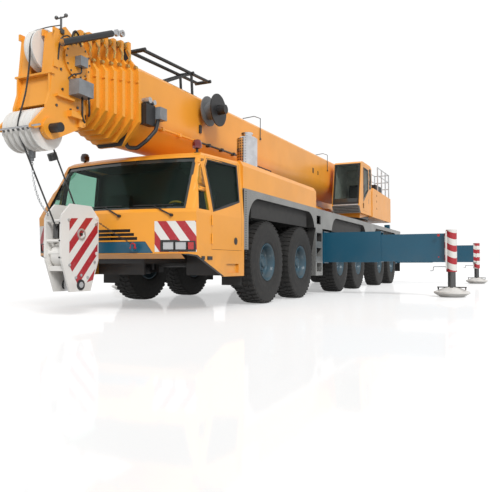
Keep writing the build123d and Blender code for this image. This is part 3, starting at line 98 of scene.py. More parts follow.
class Graph:
    """The nodes of a material or a sky, with short ways to add and join them."""

    def __init__(self, owner, shader="Principled BSDF"):
        owner.use_nodes = True
        self.owner = owner
        self.tree = owner.node_tree
        self.shader = self.tree.nodes[shader]

    def set(self, socket, value):
        if isinstance(value, bpy.types.NodeSocket):
            self.tree.links.new(value, socket)
        elif isinstance(value, tuple) and len(socket.default_value) == 4:
            socket.default_value = (*value, 1.0)
        else:
            socket.default_value = value

    def add(self, kind, inputs=None, **settings):
        node = self.tree.nodes.new(kind)
        for key, value in settings.items():
            setattr(node, key, value)
        for key, value in (inputs or {}).items():
            self.set(node.inputs[key], value)
        return node

    def math(self, operation, a, b=0.0):
        return self.add("ShaderNodeMath", {0: a, 1: b}, operation=operation).outputs[0]

    def mix(self, factor, a, b):
        return self.add("ShaderNodeMix", {0: factor, 6: a, 7: b}, data_type="RGBA").outputs[2]

    def place(self):
        return self.add("ShaderNodeTexCoord").outputs["Object"]

    def axis(self, name):
        return self.add("ShaderNodeSeparateXYZ", {0: self.place()}).outputs[name]

    def noise(self, scale, detail, stretch=(1, 1, 1)):
        mapping = self.add("ShaderNodeMapping", {"Vector": self.place(), "Scale": stretch})
        settings = {"Vector": mapping.outputs[0], "Scale": scale, "Detail": detail}
        return self.add("ShaderNodeTexNoise", settings).outputs["Fac"]

    def ramp(self, value, low, high):
        return self.add("ShaderNodeMapRange", {"Value": value, "From Min": low, "From Max": high}).outputs[0]

    def between(self, value, low, high):
        """A value of 0 to 1 brought between two others."""
        return self.add("ShaderNodeMapRange", {"Value": value, "To Min": low, "To Max": high}).outputs[0]

    def tones(self, value, colour, dark, light, low=0.3, high=0.7):
        """A colour that goes from a dark to a light shade of itself as a value rises."""
        return self.mix(self.ramp(value, low, high), shade(colour, dark), shade(colour, light))

    def bump(self, height, strength, distance):
        node = self.add("ShaderNodeBump", {"Strength": strength, "Distance": distance, "Height": height})
        self.set(self.shader.inputs["Normal"], node.outputs[0])

    def cover_with(self, factor, under, over):
        """Lay one shader over another by a factor."""
        blend = self.add("ShaderNodeMixShader", {0: factor, 1: under.outputs[0], 2: over.outputs[0]})
        self.set(self.tree.nodes["Material Output"].inputs["Surface"], blend.outputs[0])

    def finish(self, **inputs):
        for key, value in inputs.items():
            name = key.replace("_", " ").title().replace("Ior", "IOR")
            self.set(self.shader.inputs[name], value)
        return self.owner


def shade(colour, factor):
    """A colour made darker or lighter by a factor."""
    return tuple(min(1.0, c * factor) for c in colour)


def paint(g, colour, rough=0.32, dirt=0.35, dirt_top=1.1):
    """Machine paint: slight tone changes, orange-peel bump, and road dust low down."""
    tone = g.tones(g.noise(1.3, 4.0), colour, 0.95, 1.04, 0.35, 0.65)
    dust = g.math("MULTIPLY", g.ramp(g.axis("Z"), dirt_top, 0.3), g.ramp(g.noise(5.0, 8.0), 0.35, 0.75))
    tone = g.mix(g.math("MULTIPLY", dust, dirt), tone, ROAD_DUST)
    g.bump(g.noise(220.0, 2.0), 0.05, 0.001)
    return g.finish(base_color=tone, roughness=g.between(g.noise(3.0, 5.0), rough - 0.05, rough + 0.1),
                    coat_weight=0.14, coat_roughness=0.12)


def checker_plate(g, colour):
    """Aluminium tread plate: raised lozenges in two directions and a brushed sheen."""
    heights = []
    for turn in (0.785, -0.785):
        mapping = g.add("ShaderNodeMapping", {"Vector": g.place(), "Rotation": (turn,) * 3, "Scale": (28, 28, 28)})
        cells = g.add("ShaderNodeTexVoronoi", {"Vector": mapping.outputs[0], "Scale": 1.0, "Randomness": 0.0})
        heights.append(cells.outputs["Distance"])
    lozenge = g.ramp(g.math("MINIMUM", *heights), 0.32, 0.18)
    tone = g.tones(g.noise(2.0, 5.0), colour, 0.85, 1.12)
    tone = g.mix(g.math("MULTIPLY", lozenge, 0.35), tone, shade(colour, 1.5))
    g.bump(lozenge, 0.35, 0.003)
    return g.finish(base_color=tone, metallic=0.55, roughness=0.42)


def worn_metal(g, colour, rough, metallic=1.0, grain=(1, 1, 1)):
    """Bare or galvanised metal with fine brushed grain."""
    streak = g.noise(60.0, 4.0, grain)
    g.bump(streak, 0.06, 0.001)
    return g.finish(base_color=g.tones(streak, colour, 0.8, 1.15), metallic=metallic,
                    roughness=g.between(g.noise(9.0, 4.0), rough - 0.08, rough + 0.12))


def rubber(g, colour):
    """Tyre rubber: matt, with dust in the low spots."""
    dust = g.ramp(g.noise(14.0, 8.0), 0.45, 0.8)
    g.bump(g.noise(160.0, 4.0), 0.25, 0.001)
    return g.finish(base_color=g.mix(g.math("MULTIPLY", dust, 0.5), colour, (0.034, 0.030, 0.026)), roughness=0.75)


def moulded(g, colour, rough):
    """Black or grey moulded plastic with a fine grain."""
    g.bump(g.noise(400.0, 2.0), 0.15, 0.0005)
    return g.finish(base_color=g.tones(g.noise(8.0, 4.0), colour, 0.85, 1.2), roughness=rough)


def tinted_glass(g, colour, border=None):
    """Thin tinted pane: clear straight through, gloss on top, and black where border(graph) gives 1."""
    clear = g.add("ShaderNodeBsdfTransparent", {"Color": colour})
    g.finish(base_color=g.tones(g.noise(2.0, 3.0), colour, 0.02, 0.05), roughness=0.04, coat_weight=0.3)
    facing = g.add("ShaderNodeLayerWeight", {"Blend": 0.5}).outputs["Facing"]
    share = g.math("ADD", g.math("MULTIPLY", g.math("POWER", facing, 5.0), 0.9), 0.10)
    g.cover_with(g.math("MAXIMUM", share, border(g)) if border else share, clear, g.shader)
    return g.owner


def screen_border(g):
    """The windscreen's black edge: a slanted band at each side and one along the top and bottom."""
    x, z = g.axis("X"), g.axis("Z")
    side = g.math("ADD", g.math("ABSOLUTE", x), g.math("MULTIPLY", z, SCREEN_LEAN))
    sides, foot, head = g.ramp(side, 1.443, 1.447), g.ramp(z, 1.532, 1.528), g.ramp(z, 2.238, 2.242)
    return g.math("MAXIMUM", g.math("MAXIMUM", sides, foot), head)


def crane_screen_border(g):
    """The crane cab screen's black lower band and edges."""
    side = g.math("ABSOLUTE", g.math("SUBTRACT", g.axis("X"), CRANE_CAB_X))
    return g.math("MAXIMUM", g.ramp(side, 0.335, 0.339), g.ramp(g.axis("Z"), 2.622, 2.618))


def stripes(g, direction, pitch, offset=0.0):
    """Painted warning stripes: bands across a direction, a little scuffed."""
    run = g.add("ShaderNodeVectorMath", {0: g.place(), 1: direction}, operation="DOT_PRODUCT").outputs["Value"]
    wave = g.math("FRACT", g.math("ADD", g.math("DIVIDE", run, pitch), offset + 50.0))
    tone = g.mix(g.ramp(wave, 0.498, 0.502), WHITE, RED)
    tone = g.mix(g.math("MULTIPLY", g.ramp(g.noise(30.0, 6.0), 0.55, 0.8), 0.2), tone, (0.3, 0.28, 0.25))
    g.bump(g.noise(200.0, 2.0), 0.04, 0.001)
    return g.finish(base_color=tone, roughness=0.4, coat_weight=0.2)


def lamp_glass(g, colour):
    """A lens with fine upright flutes over a bright or coloured reflector."""
    flute = g.math("SINE", g.math("MULTIPLY", g.axis("X"), 420.0))
    g.bump(flute, 0.3, 0.002)
    return g.finish(base_color=g.tones(flute, colour, 0.7, 1.15, -1.0, 1.0), roughness=0.12, metallic=0.25,
                    coat_weight=0.8, coat_roughness=0.03)


def perforated(g):
    """Polished steel jacket with rows of small round holes, painted near black as painted shade for the dark inside
    seen through them.
    """
    offset = g.add("ShaderNodeVectorMath", {0: g.place(), 1: tuple(-at(*SILENCER))}, operation="ADD").outputs[0]
    split = g.add("ShaderNodeSeparateXYZ", {0: offset}).outputs
    across = g.math("MULTIPLY", g.math("ARCTAN2", split["Y"], split["X"]), SILENCER_R)
    flat = g.add("ShaderNodeCombineXYZ", {0: across, 1: split["Z"]}).outputs[0]
    cells = g.add("ShaderNodeTexVoronoi", {"Vector": flat, "Scale": 21.0, "Randomness": 0.0},
                  voronoi_dimensions="2D").outputs["Distance"]
    # The holes are painted shade: near black and not metallic
    hole = g.math("MULTIPLY", g.ramp(cells, 0.33, 0.28), g.ramp(split["X"], 0.08, 0.0))
    tone = g.mix(g.ramp(g.noise(6.0, 4.0), 0.3, 0.7), (0.62, 0.62, 0.64), (0.8, 0.8, 0.82))
    return g.finish(base_color=g.mix(hole, tone, (0.01, 0.01, 0.01)), metallic=g.math("SUBTRACT", 1.0, hole),
                    roughness=0.16)


ALONG = (1, 1, 12)
# Every look: its maker and what the maker takes
LOOKS = {
    "yellow": (paint, YELLOW), "blue": (paint, BLUE, 0.32, 0.25), "white": (paint, WHITE, 0.32, 0.25, 0.9),
    "red": (paint, RED, 0.32, 0.0), "dark": (paint, DARK, 0.5, 0.2), "rim": (paint, (0.008, 0.052, 0.082), 0.6),
    "reel": (paint, (0.13, 0.135, 0.14), 0.45, 0.0),
    "deck": (checker_plate, ALUMINIUM), "tyre": (rubber, RUBBER), "perforated": (perforated,),
    "liner": (moulded, (0.022, 0.021, 0.02), 0.7), "black": (moulded, (0.012, 0.012, 0.013), 0.45),
    "grey": (moulded, (0.18, 0.19, 0.2), 0.5), "lining": (moulded, (0.46, 0.46, 0.44), 0.6),
    "steel": (worn_metal, STEEL, 0.28), "zinc": (worn_metal, (0.5, 0.51, 0.52), 0.4, 0.8),
    "chrome": (worn_metal, (0.7, 0.7, 0.72), 0.14, 1.0, ALONG),
    "dark_steel": (worn_metal, (0.12, 0.12, 0.12), 0.3, 1.0, ALONG),
    "rope": (worn_metal, (0.05, 0.05, 0.05), 0.5, 0.7), "brass": (worn_metal, (0.52, 0.36, 0.12), 0.38, 0.8),
    "glass": (tinted_glass, CAB_TINT), "screen": (tinted_glass, CAB_TINT, screen_border),
    "clear": (tinted_glass, CRANE_CAB_TINT), "crane_screen": (tinted_glass, CRANE_CAB_TINT, crane_screen_border),
    "beacon": (lamp_glass, (0.16, 0.01, 0.012)), "beacon_dark": (lamp_glass, (0.03, 0.012, 0.012)),
    "lamp": (lamp_glass, (0.46, 0.47, 0.48)), "red_lamp": (lamp_glass, (0.45, 0.01, 0.012)),
    "stripe_block": (stripes, (0.0, 0.738, -0.675), BLOCK_STRIPE_PITCH, BLOCK_STRIPE_OFFSET)}
# The warning stripes of the cab's two panels, and those that wind down the jack housings
for side, sign in SIDES.items():
    LOOKS[f"stripe_{side}"] = (stripes, (0.83 * sign, 0.0, 0.557), 0.217, 0.5675)
    LOOKS[f"jack_stripe_{side}"] = (stripes, (0.35 * sign, -0.35, 0.87), 0.235)
MAT = {name: make(Graph(bpy.data.materials.new(name)), *values) for name, (make, *values) in LOOKS.items()}


# Mesh makers

def placed(name, data):
    """A new object in the scene."""
    thing = bpy.data.objects.new(name, data)
    bpy.context.scene.collection.objects.link(thing)
    return thing


def from_bmesh(bm, name, material, smooth=False):
    """An object from a bmesh, with its material and shading."""
    mesh = bpy.data.meshes.new(name)
    bmesh.ops.recalc_face_normals(bm, faces=bm.faces[:])
    bm.to_mesh(mesh)
    bm.free()
    mesh.materials.append(material)
    for polygon in mesh.polygons:
        polygon.use_smooth = smooth
    return placed(name, mesh)


def add_box(bm, low, high, turn=None):
    """A box between two corners, turned about its own middle if a matrix is given."""
    low, high = Vector(low), Vector(high)
    middle, size = (low + high) / 2, high - low
    matrix = Matrix.Translation(middle) @ (turn or Matrix.Identity(4)) @ Matrix.Diagonal((*size, 1.0))
    return bmesh.ops.create_cube(bm, size=1.0, matrix=matrix)["verts"]


def ball(bm, middle, radius, fineness):
    """A round knob."""
    bmesh.ops.create_icosphere(bm, subdivisions=fineness, radius=radius, matrix=Matrix.Translation(middle))


def add_tube(bm, start, end, radius, sides):
    """A capped round bar between two points."""
    start, end = Vector(start), Vector(end)
    way = end - start
    matrix = Matrix.Translation((start + end) / 2) @ way.to_track_quat("Z", "Y").to_matrix().to_4x4()
    bmesh.ops.create_cone(bm, cap_ends=True, segments=sides, radius1=radius, radius2=radius,
                          depth=way.length, matrix=matrix)


def around(count, radius, shift=0.0):
    """Places spread evenly round a circle, starting a share of one step on."""
    angles = [math.tau * (i + shift) / count for i in range(count)]
    return [(radius * math.cos(a), radius * math.sin(a)) for a in angles]


def add_turned(bm, profile, origin, way, sides):
    """A closed profile of (distance along, radius) points turned about an axis."""
    turn = Matrix.Translation(origin) @ Vector(way).to_track_quat("Z", "Y").to_matrix().to_4x4()
    rings = []
    for along, radius in profile:
        rings.append([bm.verts.new(turn @ Vector((x, y, along))) for x, y in around(sides, radius)])
    for first, second in zip(rings, rings[1:] + rings[:1]):
        band_faces(bm, first, second)


def settle(piece, body):
    """Tie a finished piece to its CAD body."""
    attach(piece, body)


# Wheels

TYRE_R = 0.745
# Blocks in a tread row, their half width round the tyre, and the height above which their tops narrow
LUGS = 44
LUG_HALF = 0.029
LUG_TOP = 0.74
# The tyre's section: distance from its middle plane and radius, from bead to bead
TYRE_WALL = [(0.175, 0.337), (0.200, 0.375), (0.214, 0.470), (0.213, 0.560), (0.203, 0.640), (0.196, 0.690),
             (0.178, 0.716), (0.120, 0.727)]
TYRE_SECTION = [(-x, radius) for x, radius in TYRE_WALL] + [(0.0, 0.728)] + TYRE_WALL[::-1]
# Rows of tread blocks: inner and outer edge, skew and underside
LUG_ROWS = [(0.012, 0.085, 0.25, 0.722), (0.098, 0.190, -0.2, 0.705)]
HAND_HOLES = 10
NUTS = 20
HUB_BOLTS = 8


def tyre_mesh():
    """The tyre's ring with its block tread, about the X axis."""
    bm = bmesh.new()
    add_turned(bm, TYRE_SECTION, (0, 0, 0), (1, 0, 0), 96)
    tread = bmesh.new()
    for side in (-1, 1):
        for i in range(LUGS):
            turn = Matrix.Rotation(math.tau * (i + 0.5 * (side > 0)) / LUGS, 4, "X")
            for near, far, skew, low in LUG_ROWS:
                x0, x1 = sorted((side * near, side * far))
                lug = add_box(tread, (x0, -LUG_HALF, low), (x1, LUG_HALF, TYRE_R - 0.002),
                              Matrix.Rotation(skew * side, 4, "Z"))
                for vertex in lug:
                    if vertex.co.z > LUG_TOP:
                        vertex.co.y *= 0.86
                        vertex.co.z -= 0.012 * max(0.0, abs(vertex.co.x) - 0.15) / 0.05
                bmesh.ops.transform(tread, matrix=turn, verts=lug)
    mesh = bpy.data.meshes.new("tread")
    tread.to_mesh(mesh)
    tread.free()
    bm.from_mesh(mesh)
    return bm


def rim_mesh():
    """The wheel's barrel and dished disc, about the X axis with its outside at +X."""
    bm = bmesh.new()
    add_turned(bm, [(-0.185, 0.300), (-0.185, 0.336), (-0.172, 0.336), (-0.16, 0.322), (0.16, 0.322), (0.172, 0.336),
                    (0.188, 0.336), (0.188, 0.326), (0.176, 0.318), (0.170, 0.306), (0.06, 0.296), (0.03, 0.280),
                    (0.012, 0.255), (-0.010, 0.215), (-0.012, 0.165), (-0.11, 0.165), (-0.11, 0.29)],
               (0, 0, 0), (1, 0, 0), 64)
    return bm


def hub_mesh():
    """Planetary hub: stepped drum, cap and the ring of wheel nuts."""
    bm = bmesh.new()
    add_turned(bm, [(-0.04, 0.0005), (-0.04, 0.178), (0.005, 0.178), (0.012, 0.165), (0.070, 0.150), (0.082, 0.140),
                    (0.085, 0.095), (0.112, 0.085), (0.120, 0.070), (0.120, 0.0005)], (0, 0, 0), (1, 0, 0), 48)
    for places, x0, x1, radius in ((around(NUTS, 0.198), -0.012, 0.028, 0.0135),
                                   (around(HUB_BOLTS, 0.118, 0.5), 0.080, 0.094, 0.010)):
        for y, z in places:
            add_tube(bm, (x0, y, z), (x1, y, z), radius, 6)
    return bm


def hole_mesh():
    """Black discs at the hand holes round the disc, just proud of it: painted shade for the dark inside seen through
    the holes.
    """
    bm = bmesh.new()
    for (y, z), (out_y, out_z) in zip(around(HAND_HOLES, 0.252, 0.5), around(HAND_HOLES, 0.75, 0.5)):
        way = Vector((1.0, -out_y, -out_z)).normalized()
        start = Vector((0.009, y, z))
        add_tube(bm, start - way * 0.01, start + way * 0.0035, 0.024, 18)
    return bm


def dress_wheels():
    """Swap the plain wheels for ones with tread, dished rims, hubs and nuts."""
    # The holes piece is black discs: painted shade in the wheel's hand holes
    makers = [("tyre", tyre_mesh, "tyre", "tyre_rubber", False), ("rim", rim_mesh, "rim", "outrigger_blue", True),
              ("hub", hub_mesh, "rim", "outrigger_blue", False), ("holes", hole_mesh, "black", "chassis_dark", False)]
    patterns = {}
    for name, maker, material, slot, smooth in makers:
        piece = from_bmesh(maker(), f"wheel_{name}_pattern", MAT[material], smooth)
        patterns[name] = (piece.data, slot)
        bpy.data.objects.remove(piece)
    for axle in range(1, 7):
        for side, sign in SIDES.items():
            node = f"wheel_{axle}_{side}"
            turn = Matrix.Rotation(0.0 if sign > 0 else math.pi, 4, "Z")
            for name, (data, slot) in patterns.items():
                piece = placed(f"{node}_{name}", data)
                piece.matrix_world = Matrix.Translation(centre(node)) @ turn
                settle(piece, node)
                if name == "tyre":
                    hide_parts(node)


# The carried-over nodes

def cover(node, material, regions=()):
    """Give a CAD node its material, and other ones where a test on a face's middle holds."""
    mesh = NODES[node].data
    mesh.materials.clear()
    mesh.materials.append(MAT[material])
    for name, _ in regions:
        mesh.materials.append(MAT[name])
    for polygon in mesh.polygons:
        polygon.material_index = 0
        for index, (_, test) in enumerate(regions, start=1):
            if test(polygon.center - Vector((0, AXLE_1, 0)), polygon.normal):
                polygon.material_index = index


def within(outline, a, b):
    """Whether a point lies inside a flat outline."""
    inside = False
    for (a0, b0), (a1, b1) in zip(outline, outline[1:] + outline[:1]):
        if (b0 > b) != (b1 > b) and a < a0 + (a1 - a0) * (b - b0) / (b1 - b0):
            inside = not inside
    return inside


CAB_MIDDLE = Vector((0.0, -1.75, 1.7))
CRANE_CAB_MIDDLE = Vector((CRANE_CAB_X, 7.5, 3.0))
DOOR_WINDOW = [(-2.030, 1.500), (-1.180, 1.720), (-1.180, 2.300), (-1.940, 2.300), (-2.030, 2.180)]
CRANE_DOOR_WINDOW = [(7.190, 2.560), (7.800, 2.960), (7.800, 3.570), (7.190, 3.570)]
CRANE_SIDE_WINDOW = [(7.920, 3.010), (8.170, 3.060), (8.170, 3.620), (7.920, 3.620)]
# Grille rows: lower edge and reach to each side
GRILLE_ROWS = [(1.056, 0.620), (1.114, 0.570), (1.170, 0.510)]
GRILLE_SLOT = 0.044
SCREEN_LOW = 2.480
LAMP_POCKET = (0.985, 1.440, 0.905, 1.037)
PANEL = (0.885, 1.465, 0.885, 1.320)
# Middles of the bars between the lenses
LENS_GAPS = [1.160, 1.3325]
CAB_STEP = (-1.640, -1.230, 0.575, 0.715)
HANDLE = (-1.336, 1.074)
HANDLE_R = 0.059
# Where the white lenses end and the red ones start, outward
LENS_SPLIT = (1.335, 1.341)
LENS_BAR_HALF = 0.011
GASKET_WIDTH = 0.045
WIPER_PIVOTS = [-0.459, 0.338, 1.135]
HALF_WIDTH = 1.5
JACK_X = 4.280
BOOM_FOOT_Y = 9.6
DROOP = math.sin(math.radians(1.06))
BOOM_HALF = 0.500
BOOM_BELLY = 3.230
BOOM_TOP = 3.870


def level_height(p):
    """A boom point's height once the boom lies level."""
    return p.z + (BOOM_FOOT_Y - p.y) * DROOP


def off_boom(p):
    """How far a point stands out from the base tube's side and round belly."""
    z = level_height(p)
    return abs(p.x) - BOOM_HALF if z > BOOM_BELLY else math.hypot(p.x, z - BOOM_BELLY) - BOOM_HALF


def on_boom_side(p, y0, y1, low, high):
    """Parts on the base tube's left side, between two stations and two level heights."""
    return p.x > BOOM_HALF + 0.0002 and y0 < p.y < y1 and low < level_height(p) < high


def in_grille(p, n):
    """Faces of the grille's slots."""
    return p.y < -2.2 and any(z < p.z < z + GRILLE_SLOT and abs(p.x) < reach for z, reach in GRILLE_ROWS)


def in_window(limits, a, b, slack=0.001):
    """Whether two coordinates lie within a rectangle's limits, or just outside them."""
    a0, a1, b0, b1 = limits
    return a0 - slack < a < a1 + slack and b0 - slack < b < b1 + slack


def in_lamp_pocket(p, n):
    """Faces of the lamp clusters' pockets."""
    return p.y < -2.2 and in_window(LAMP_POCKET, abs(p.x), p.z)


def in_step(p):
    """Faces of the step recess low in the cab's side."""
    return abs(p.x) > 1.2 and in_window(CAB_STEP, p.y, p.z)


def faces_wall(p, n):
    """Whether a cab face looks at another one, so that it lies inside or in a gap; such faces are painted black,
    which in the gaps is painted shade.
    """
    return CAB_SKIN.ray_cast(p + Vector((0, AXLE_1, 0)) + n * 0.004, n)[0] is not None


def jack_plate(p, n):
    """The flange bar and handles over a pad."""
    x = abs(abs(p.x) - JACK_X)
    return (0.195 < p.z < 0.225 and x > 0.09) or (0.262 < x < 0.298 and p.z > 0.153)


BASE_REGIONS = [
    ("black", lambda p, n: level_height(p) > BOOM_TOP + 0.0002 and p.y > -2.45),
    ("black", lambda p, n: off_boom(p) > 0.002 and -2.53 < p.y < -2.19 and level_height(p) < 3.125),
    ("black", lambda p, n: on_boom_side(p, -2.53, -2.29, 3.005, 3.325)),
    ("zinc", lambda p, n: on_boom_side(p, -2.53, -2.29, 3.3255, 9.0)),
    ("grey", lambda p, n: on_boom_side(p, -2.28, -2.09, 3.12, 9.0)),
    ("dark", lambda p, n: off_boom(p) > 0.002 and -0.95 < p.y < 0.75 and 3.0 < level_height(p) < 3.09),
    ("dark", lambda p, n: p.x > BOOM_HALF + 0.002 and -0.75 < p.y < -0.5 and level_height(p) > 3.2),
    ("liner", lambda p, n: abs(p.x) < 0.30 and p.y < -2.0 and abs(n.y) > 0.9)]
HEAD_REGIONS = [
    ("black", lambda p, n: 0.372 < p.x < 0.468 and p.z > 3.42 and -4.05 < p.y < -3.08),
    ("grey", lambda p, n: 0.2902 < p.x < 0.462 and 2.905 < p.z < 3.115 and -3.79 < p.y < -3.49),
    ("grey", lambda p, n: p.x > 0.3152 and 3.305 < p.z < 3.445 and -3.71 < p.y < -3.55),
    ("black", lambda p, n: 0.322 < abs(p.x) < 0.48 and abs(p.z - 2.4) < 0.07 and abs(p.y + 4.1) < 0.07),
    ("steel", lambda p, n: math.hypot(p.y + 4.392, p.z - 2.375) < 0.0135)]
# Nodes that have one look all over
PLAIN_NODES = {
    "dark": ["axle_beams", "engine_block"] + [f"knuckle_{axle}_{side}" for axle in (1, 2, 5, 6) for side in SIDES],
    "blue": [f"outrigger_{end}_{side}_outer_beam" for end in ("front", "rear") for side in SIDES],
    "yellow": ["lift_cylinder_barrel"] + [f"boom_section_{k}" for k in range(1, 6)],
    "white": ["head_sheaves", "top_sheave"],
    "steel": ["hoist_winch_drum"], "chrome": ["lift_cylinder_rod"], "rope": ["hoist_falls"]}


def dress_nodes():
    """Materials of every CAD node that stays."""
    for material, nodes in PLAIN_NODES.items():
        for node in nodes:
            cover(node, material)
    cover("chassis_frame", "dark", [
        ("blue", lambda p, n: p.y < -2.5 and p.z > 0.86),
        ("blue", lambda p, n: abs(p.x) > 1.2 and p.z < 1.5 and (2.9 < p.y < 4.0 or 12.1 < p.y < 13.0)),
        ("liner", lambda p, n: p.y > 13.05 and p.z < 0.9 and abs(p.x) > 1.05),
        ("red_lamp", lambda p, n: p.y > 13.1 and abs(p.x) > 1.05 and 0.975 < p.z < 1.125 and n.y > -0.9)])
    cover("deck_and_fenders", "deck", [
        ("liner", lambda p, n: 1.0 < p.z < 1.9 and abs(p.x) < 1.495 and abs(n.x) < 0.9 and n.z < 0.3),
        ("liner", lambda p, n: 1.3 < abs(p.x) < 1.45 and 1.4 < p.z < 1.9)])
    cover("engine_housing", "yellow", [("perforated", lambda p, n: p.z > 2.421 and p.x > 0.9)])
    cover("carrier_cab", "yellow", [
        # Black on faces that look at another cab face: the cab's inside, and painted shade in its gaps
        ("black", lambda p, n: p.z > 1.0 and n.dot(CAB_MIDDLE - p) > 0.02 and faces_wall(p, n)),
        ("black", lambda p, n: 1.001 < p.z < 2.1 and abs(p.x) < 1.1 and -2.1 < p.y < -1.2),
        # Painted shade under the cab: its low faces that look down, and its low faces inboard of the side skin
        # outside the step recess, are painted dark
        ("dark", lambda p, n: p.z < 0.9 and n.z < -0.6),
        ("dark", lambda p, n: p.z < 0.859 and abs(p.x) < 1.38 and p.y > -2.4 and not in_step(p)),
        ("black", in_grille), ("black", in_lamp_pocket),
        ("black", lambda p, n: p.z > 2.4003),
        ("beacon_dark", lambda p, n: p.z > 2.475 and p.x < 0),
        ("beacon", lambda p, n: p.z > 2.475 and p.x > 0)])
    cover("carrier_cab_glass", "glass", [
        ("screen", lambda p, n: p.z > 1.4 and p.y < -1.5 and abs(p.x) < 1.32 and abs(n.y) > 0.5),
        ("lamp", lambda p, n: p.z < 1.2 and abs(p.x) < LENS_SPLIT[0]),
        ("red_lamp", lambda p, n: p.z < 1.2 and abs(p.x) > LENS_SPLIT[1])])
    for side in SIDES:
        cover(f"cab_door_{side}", "yellow", [
            ("black", lambda p, n: p.z > 0.95 and n.dot(CAB_MIDDLE - p) > 0.02),
            ("glass", lambda p, n: within(DOOR_WINDOW, p.y, p.z)),
            ("black", lambda p, n: math.hypot(p.y - HANDLE[0], p.z - HANDLE[1]) < 0.0485)])
        for end in ("front", "rear"):
            base = f"outrigger_{end}_{side}"
            cover(f"{base}_inner_beam", "blue", [
                (f"jack_stripe_{side}", lambda p, n: abs(p.x) > 4.16),
                ("zinc", lambda p, n: abs(p.x) < 4.163 and p.z < 0.72)])
            cover(f"{base}_foot", "white", [("dark_steel", lambda p, n: p.z > 0.2185), ("dark", jack_plate)])
    cover("superstructure", "yellow", [
        ("zinc", lambda p, n: p.z > 3.1002 and p.x > 0.9 and p.y > 9.2),
        ("black", lambda p, n: 1.035 < p.x < 1.345 and 9.49 < p.y < 10.37 and 3.1 < p.z < 3.361),
        ("black", lambda p, n: p.x > 1.47 and abs(p.y - 8.89) < 0.0255
         and any(abs(p.z - z) < 0.0355 for z in (2.487, 2.723, 2.908))),
        ("dark", lambda p, n: p.z < 2.12)])
    cover("crane_cab", "yellow", [
        ("zinc", lambda p, n: p.z < SCREEN_LOW and n.y < -0.3 and p.y < 7.2),
        ("lining", lambda p, n: p.z > 2.21 and n.dot(CRANE_CAB_MIDDLE - p) > 0.02),
        ("black", lambda p, n: 0.75 < p.x < 1.4 and 6.9 < p.y < 8.1 and 2.25 < p.z < 3.6)])
    cover("crane_cab_glass", "clear", [("crane_screen", lambda p, n: p.y < 7.15)])
    cover("crane_cab_door", "yellow", [
        ("lining", lambda p, n: n.dot(CRANE_CAB_MIDDLE - p) > 0.02),
        ("clear", lambda p, n: within(CRANE_DOOR_WINDOW, p.y, p.z))])
    cover("boom_base", "yellow", BASE_REGIONS)
    cover("boom_section_6", "yellow", HEAD_REGIONS)
    cover("hook_block", "white", [
        ("steel", lambda p, n: abs(p.x) < 0.119 and p.z < 0.58)])
    cover("cable_reel", "reel", [("black", lambda p, n: p.x > 0.76)])


# Fittings laid on the CAD surfaces

def surface(*nodes):
    """A search tree over the outsides of some CAD nodes."""
    points, faces = [], []
    for node in nodes:
        mesh = NODES[node].data
        start = len(points)
        points += [v.co.copy() for v in mesh.vertices]
        faces += [[start + i for i in polygon.vertices] for polygon in mesh.polygons]
    return BVHTree.FromPolygons(points, faces)


CAB_SKIN = surface("carrier_cab", "carrier_cab_glass", "cab_door_left", "cab_door_right")
CRANE_SKIN = surface("crane_cab", "crane_cab_glass", "crane_cab_door")
BACKWARD = Vector((0, 1, 0))
# Where the rays that look for the cabs' fronts and side start
FRONT_START = -3.5
CRANE_FRONT_START = 6.0
SIDE_START = 2.0
# A ray that slips through the gap round a pane is sent again a little beside it
NUDGES = (0.0, 0.004, -0.004, 0.008)
# How far sheets stand off the skin that they are laid on
PROUD = 0.003


def front_point(x, z, proud):
    """The place on the cab's front over a point in x and z, standing proud of it."""
    for nudge in NUDGES:
        hit = CAB_SKIN.ray_cast(at(x + nudge, FRONT_START, z + nudge), BACKWARD)[0]
        if hit:
            return Vector((x, hit.y - proud, z))


def side_point(side, y, z, proud):
    """The place on the cab's side over a point in y and z, standing proud of it."""
    for nudge in NUDGES:
        hit = CAB_SKIN.ray_cast(at(SIDE_START * side, y + nudge, z + nudge), Vector((-side, 0, 0)))[0]
        if hit:
            return Vector((hit.x + side * proud, y + AXLE_1, z))


def crane_front(x, z, proud):
    """The place on the crane cab's front over a point in x and z, standing proud of it."""
    hit = CRANE_SKIN.ray_cast(at(x, CRANE_FRONT_START, z), BACKWARD)[0]
    return Vector((x, hit.y - proud, z))


def first_facing(places, way, share):
    """The first of some places whose ray meets a face of the cab that looks back at it by a share."""
    for place in places:
        hit, normal, _, _ = CAB_SKIN.ray_cast(at(*place), way)
        if hit and -normal.dot(way) > share:
            return place


def band_faces(bm, first, second):
    """Quads between two closed rings of vertices."""
    count = len(first)
    for i in range(count):
        j = (i + 1) % count
        bm.faces.new((first[i], first[j], second[j], second[i]))


def ribbon(bm, outer, inner):
    """A closed flat band between two loops of points."""
    band_faces(bm, [bm.verts.new(p) for p in outer], [bm.verts.new(p) for p in inner])


def sheet(bm, points):
    """One flat face through points."""
    bm.faces.new([bm.verts.new(p) for p in points])


def rectangle(a0, a1, b0, b1):
    """The corners of a flat rectangle."""
    return [(a0, b0), (a1, b0), (a1, b1), (a0, b1)]


def held_in(outline, a0, a1, b0, b1):
    """An outline's points brought inside a rectangle."""
    return [(min(max(a, a0), a1), min(max(b, b0), b1)) for a, b in outline]


def refined(outline, step):
    """An outline with extra points so that no side is longer than a step."""
    points = []
    for (a0, b0), (a1, b1) in zip(outline, outline[1:] + outline[:1]):
        count = max(1, math.ceil(math.hypot(a1 - a0, b1 - b0) / step))
        points += [(a0 + (a1 - a0) * i / count, b0 + (b1 - b0) * i / count) for i in range(count)]
    return points


def shrunk(points, amount):
    """Loop points moved toward the loop's middle by an amount."""
    middle_a, middle_b = (sum(values) / len(points) for values in zip(*points))
    moved = []
    for a, b in points:
        reach = math.hypot(a - middle_a, b - middle_b)
        moved.append((a + (middle_a - a) * amount / reach, b + (middle_b - b) * amount / reach))
    return moved


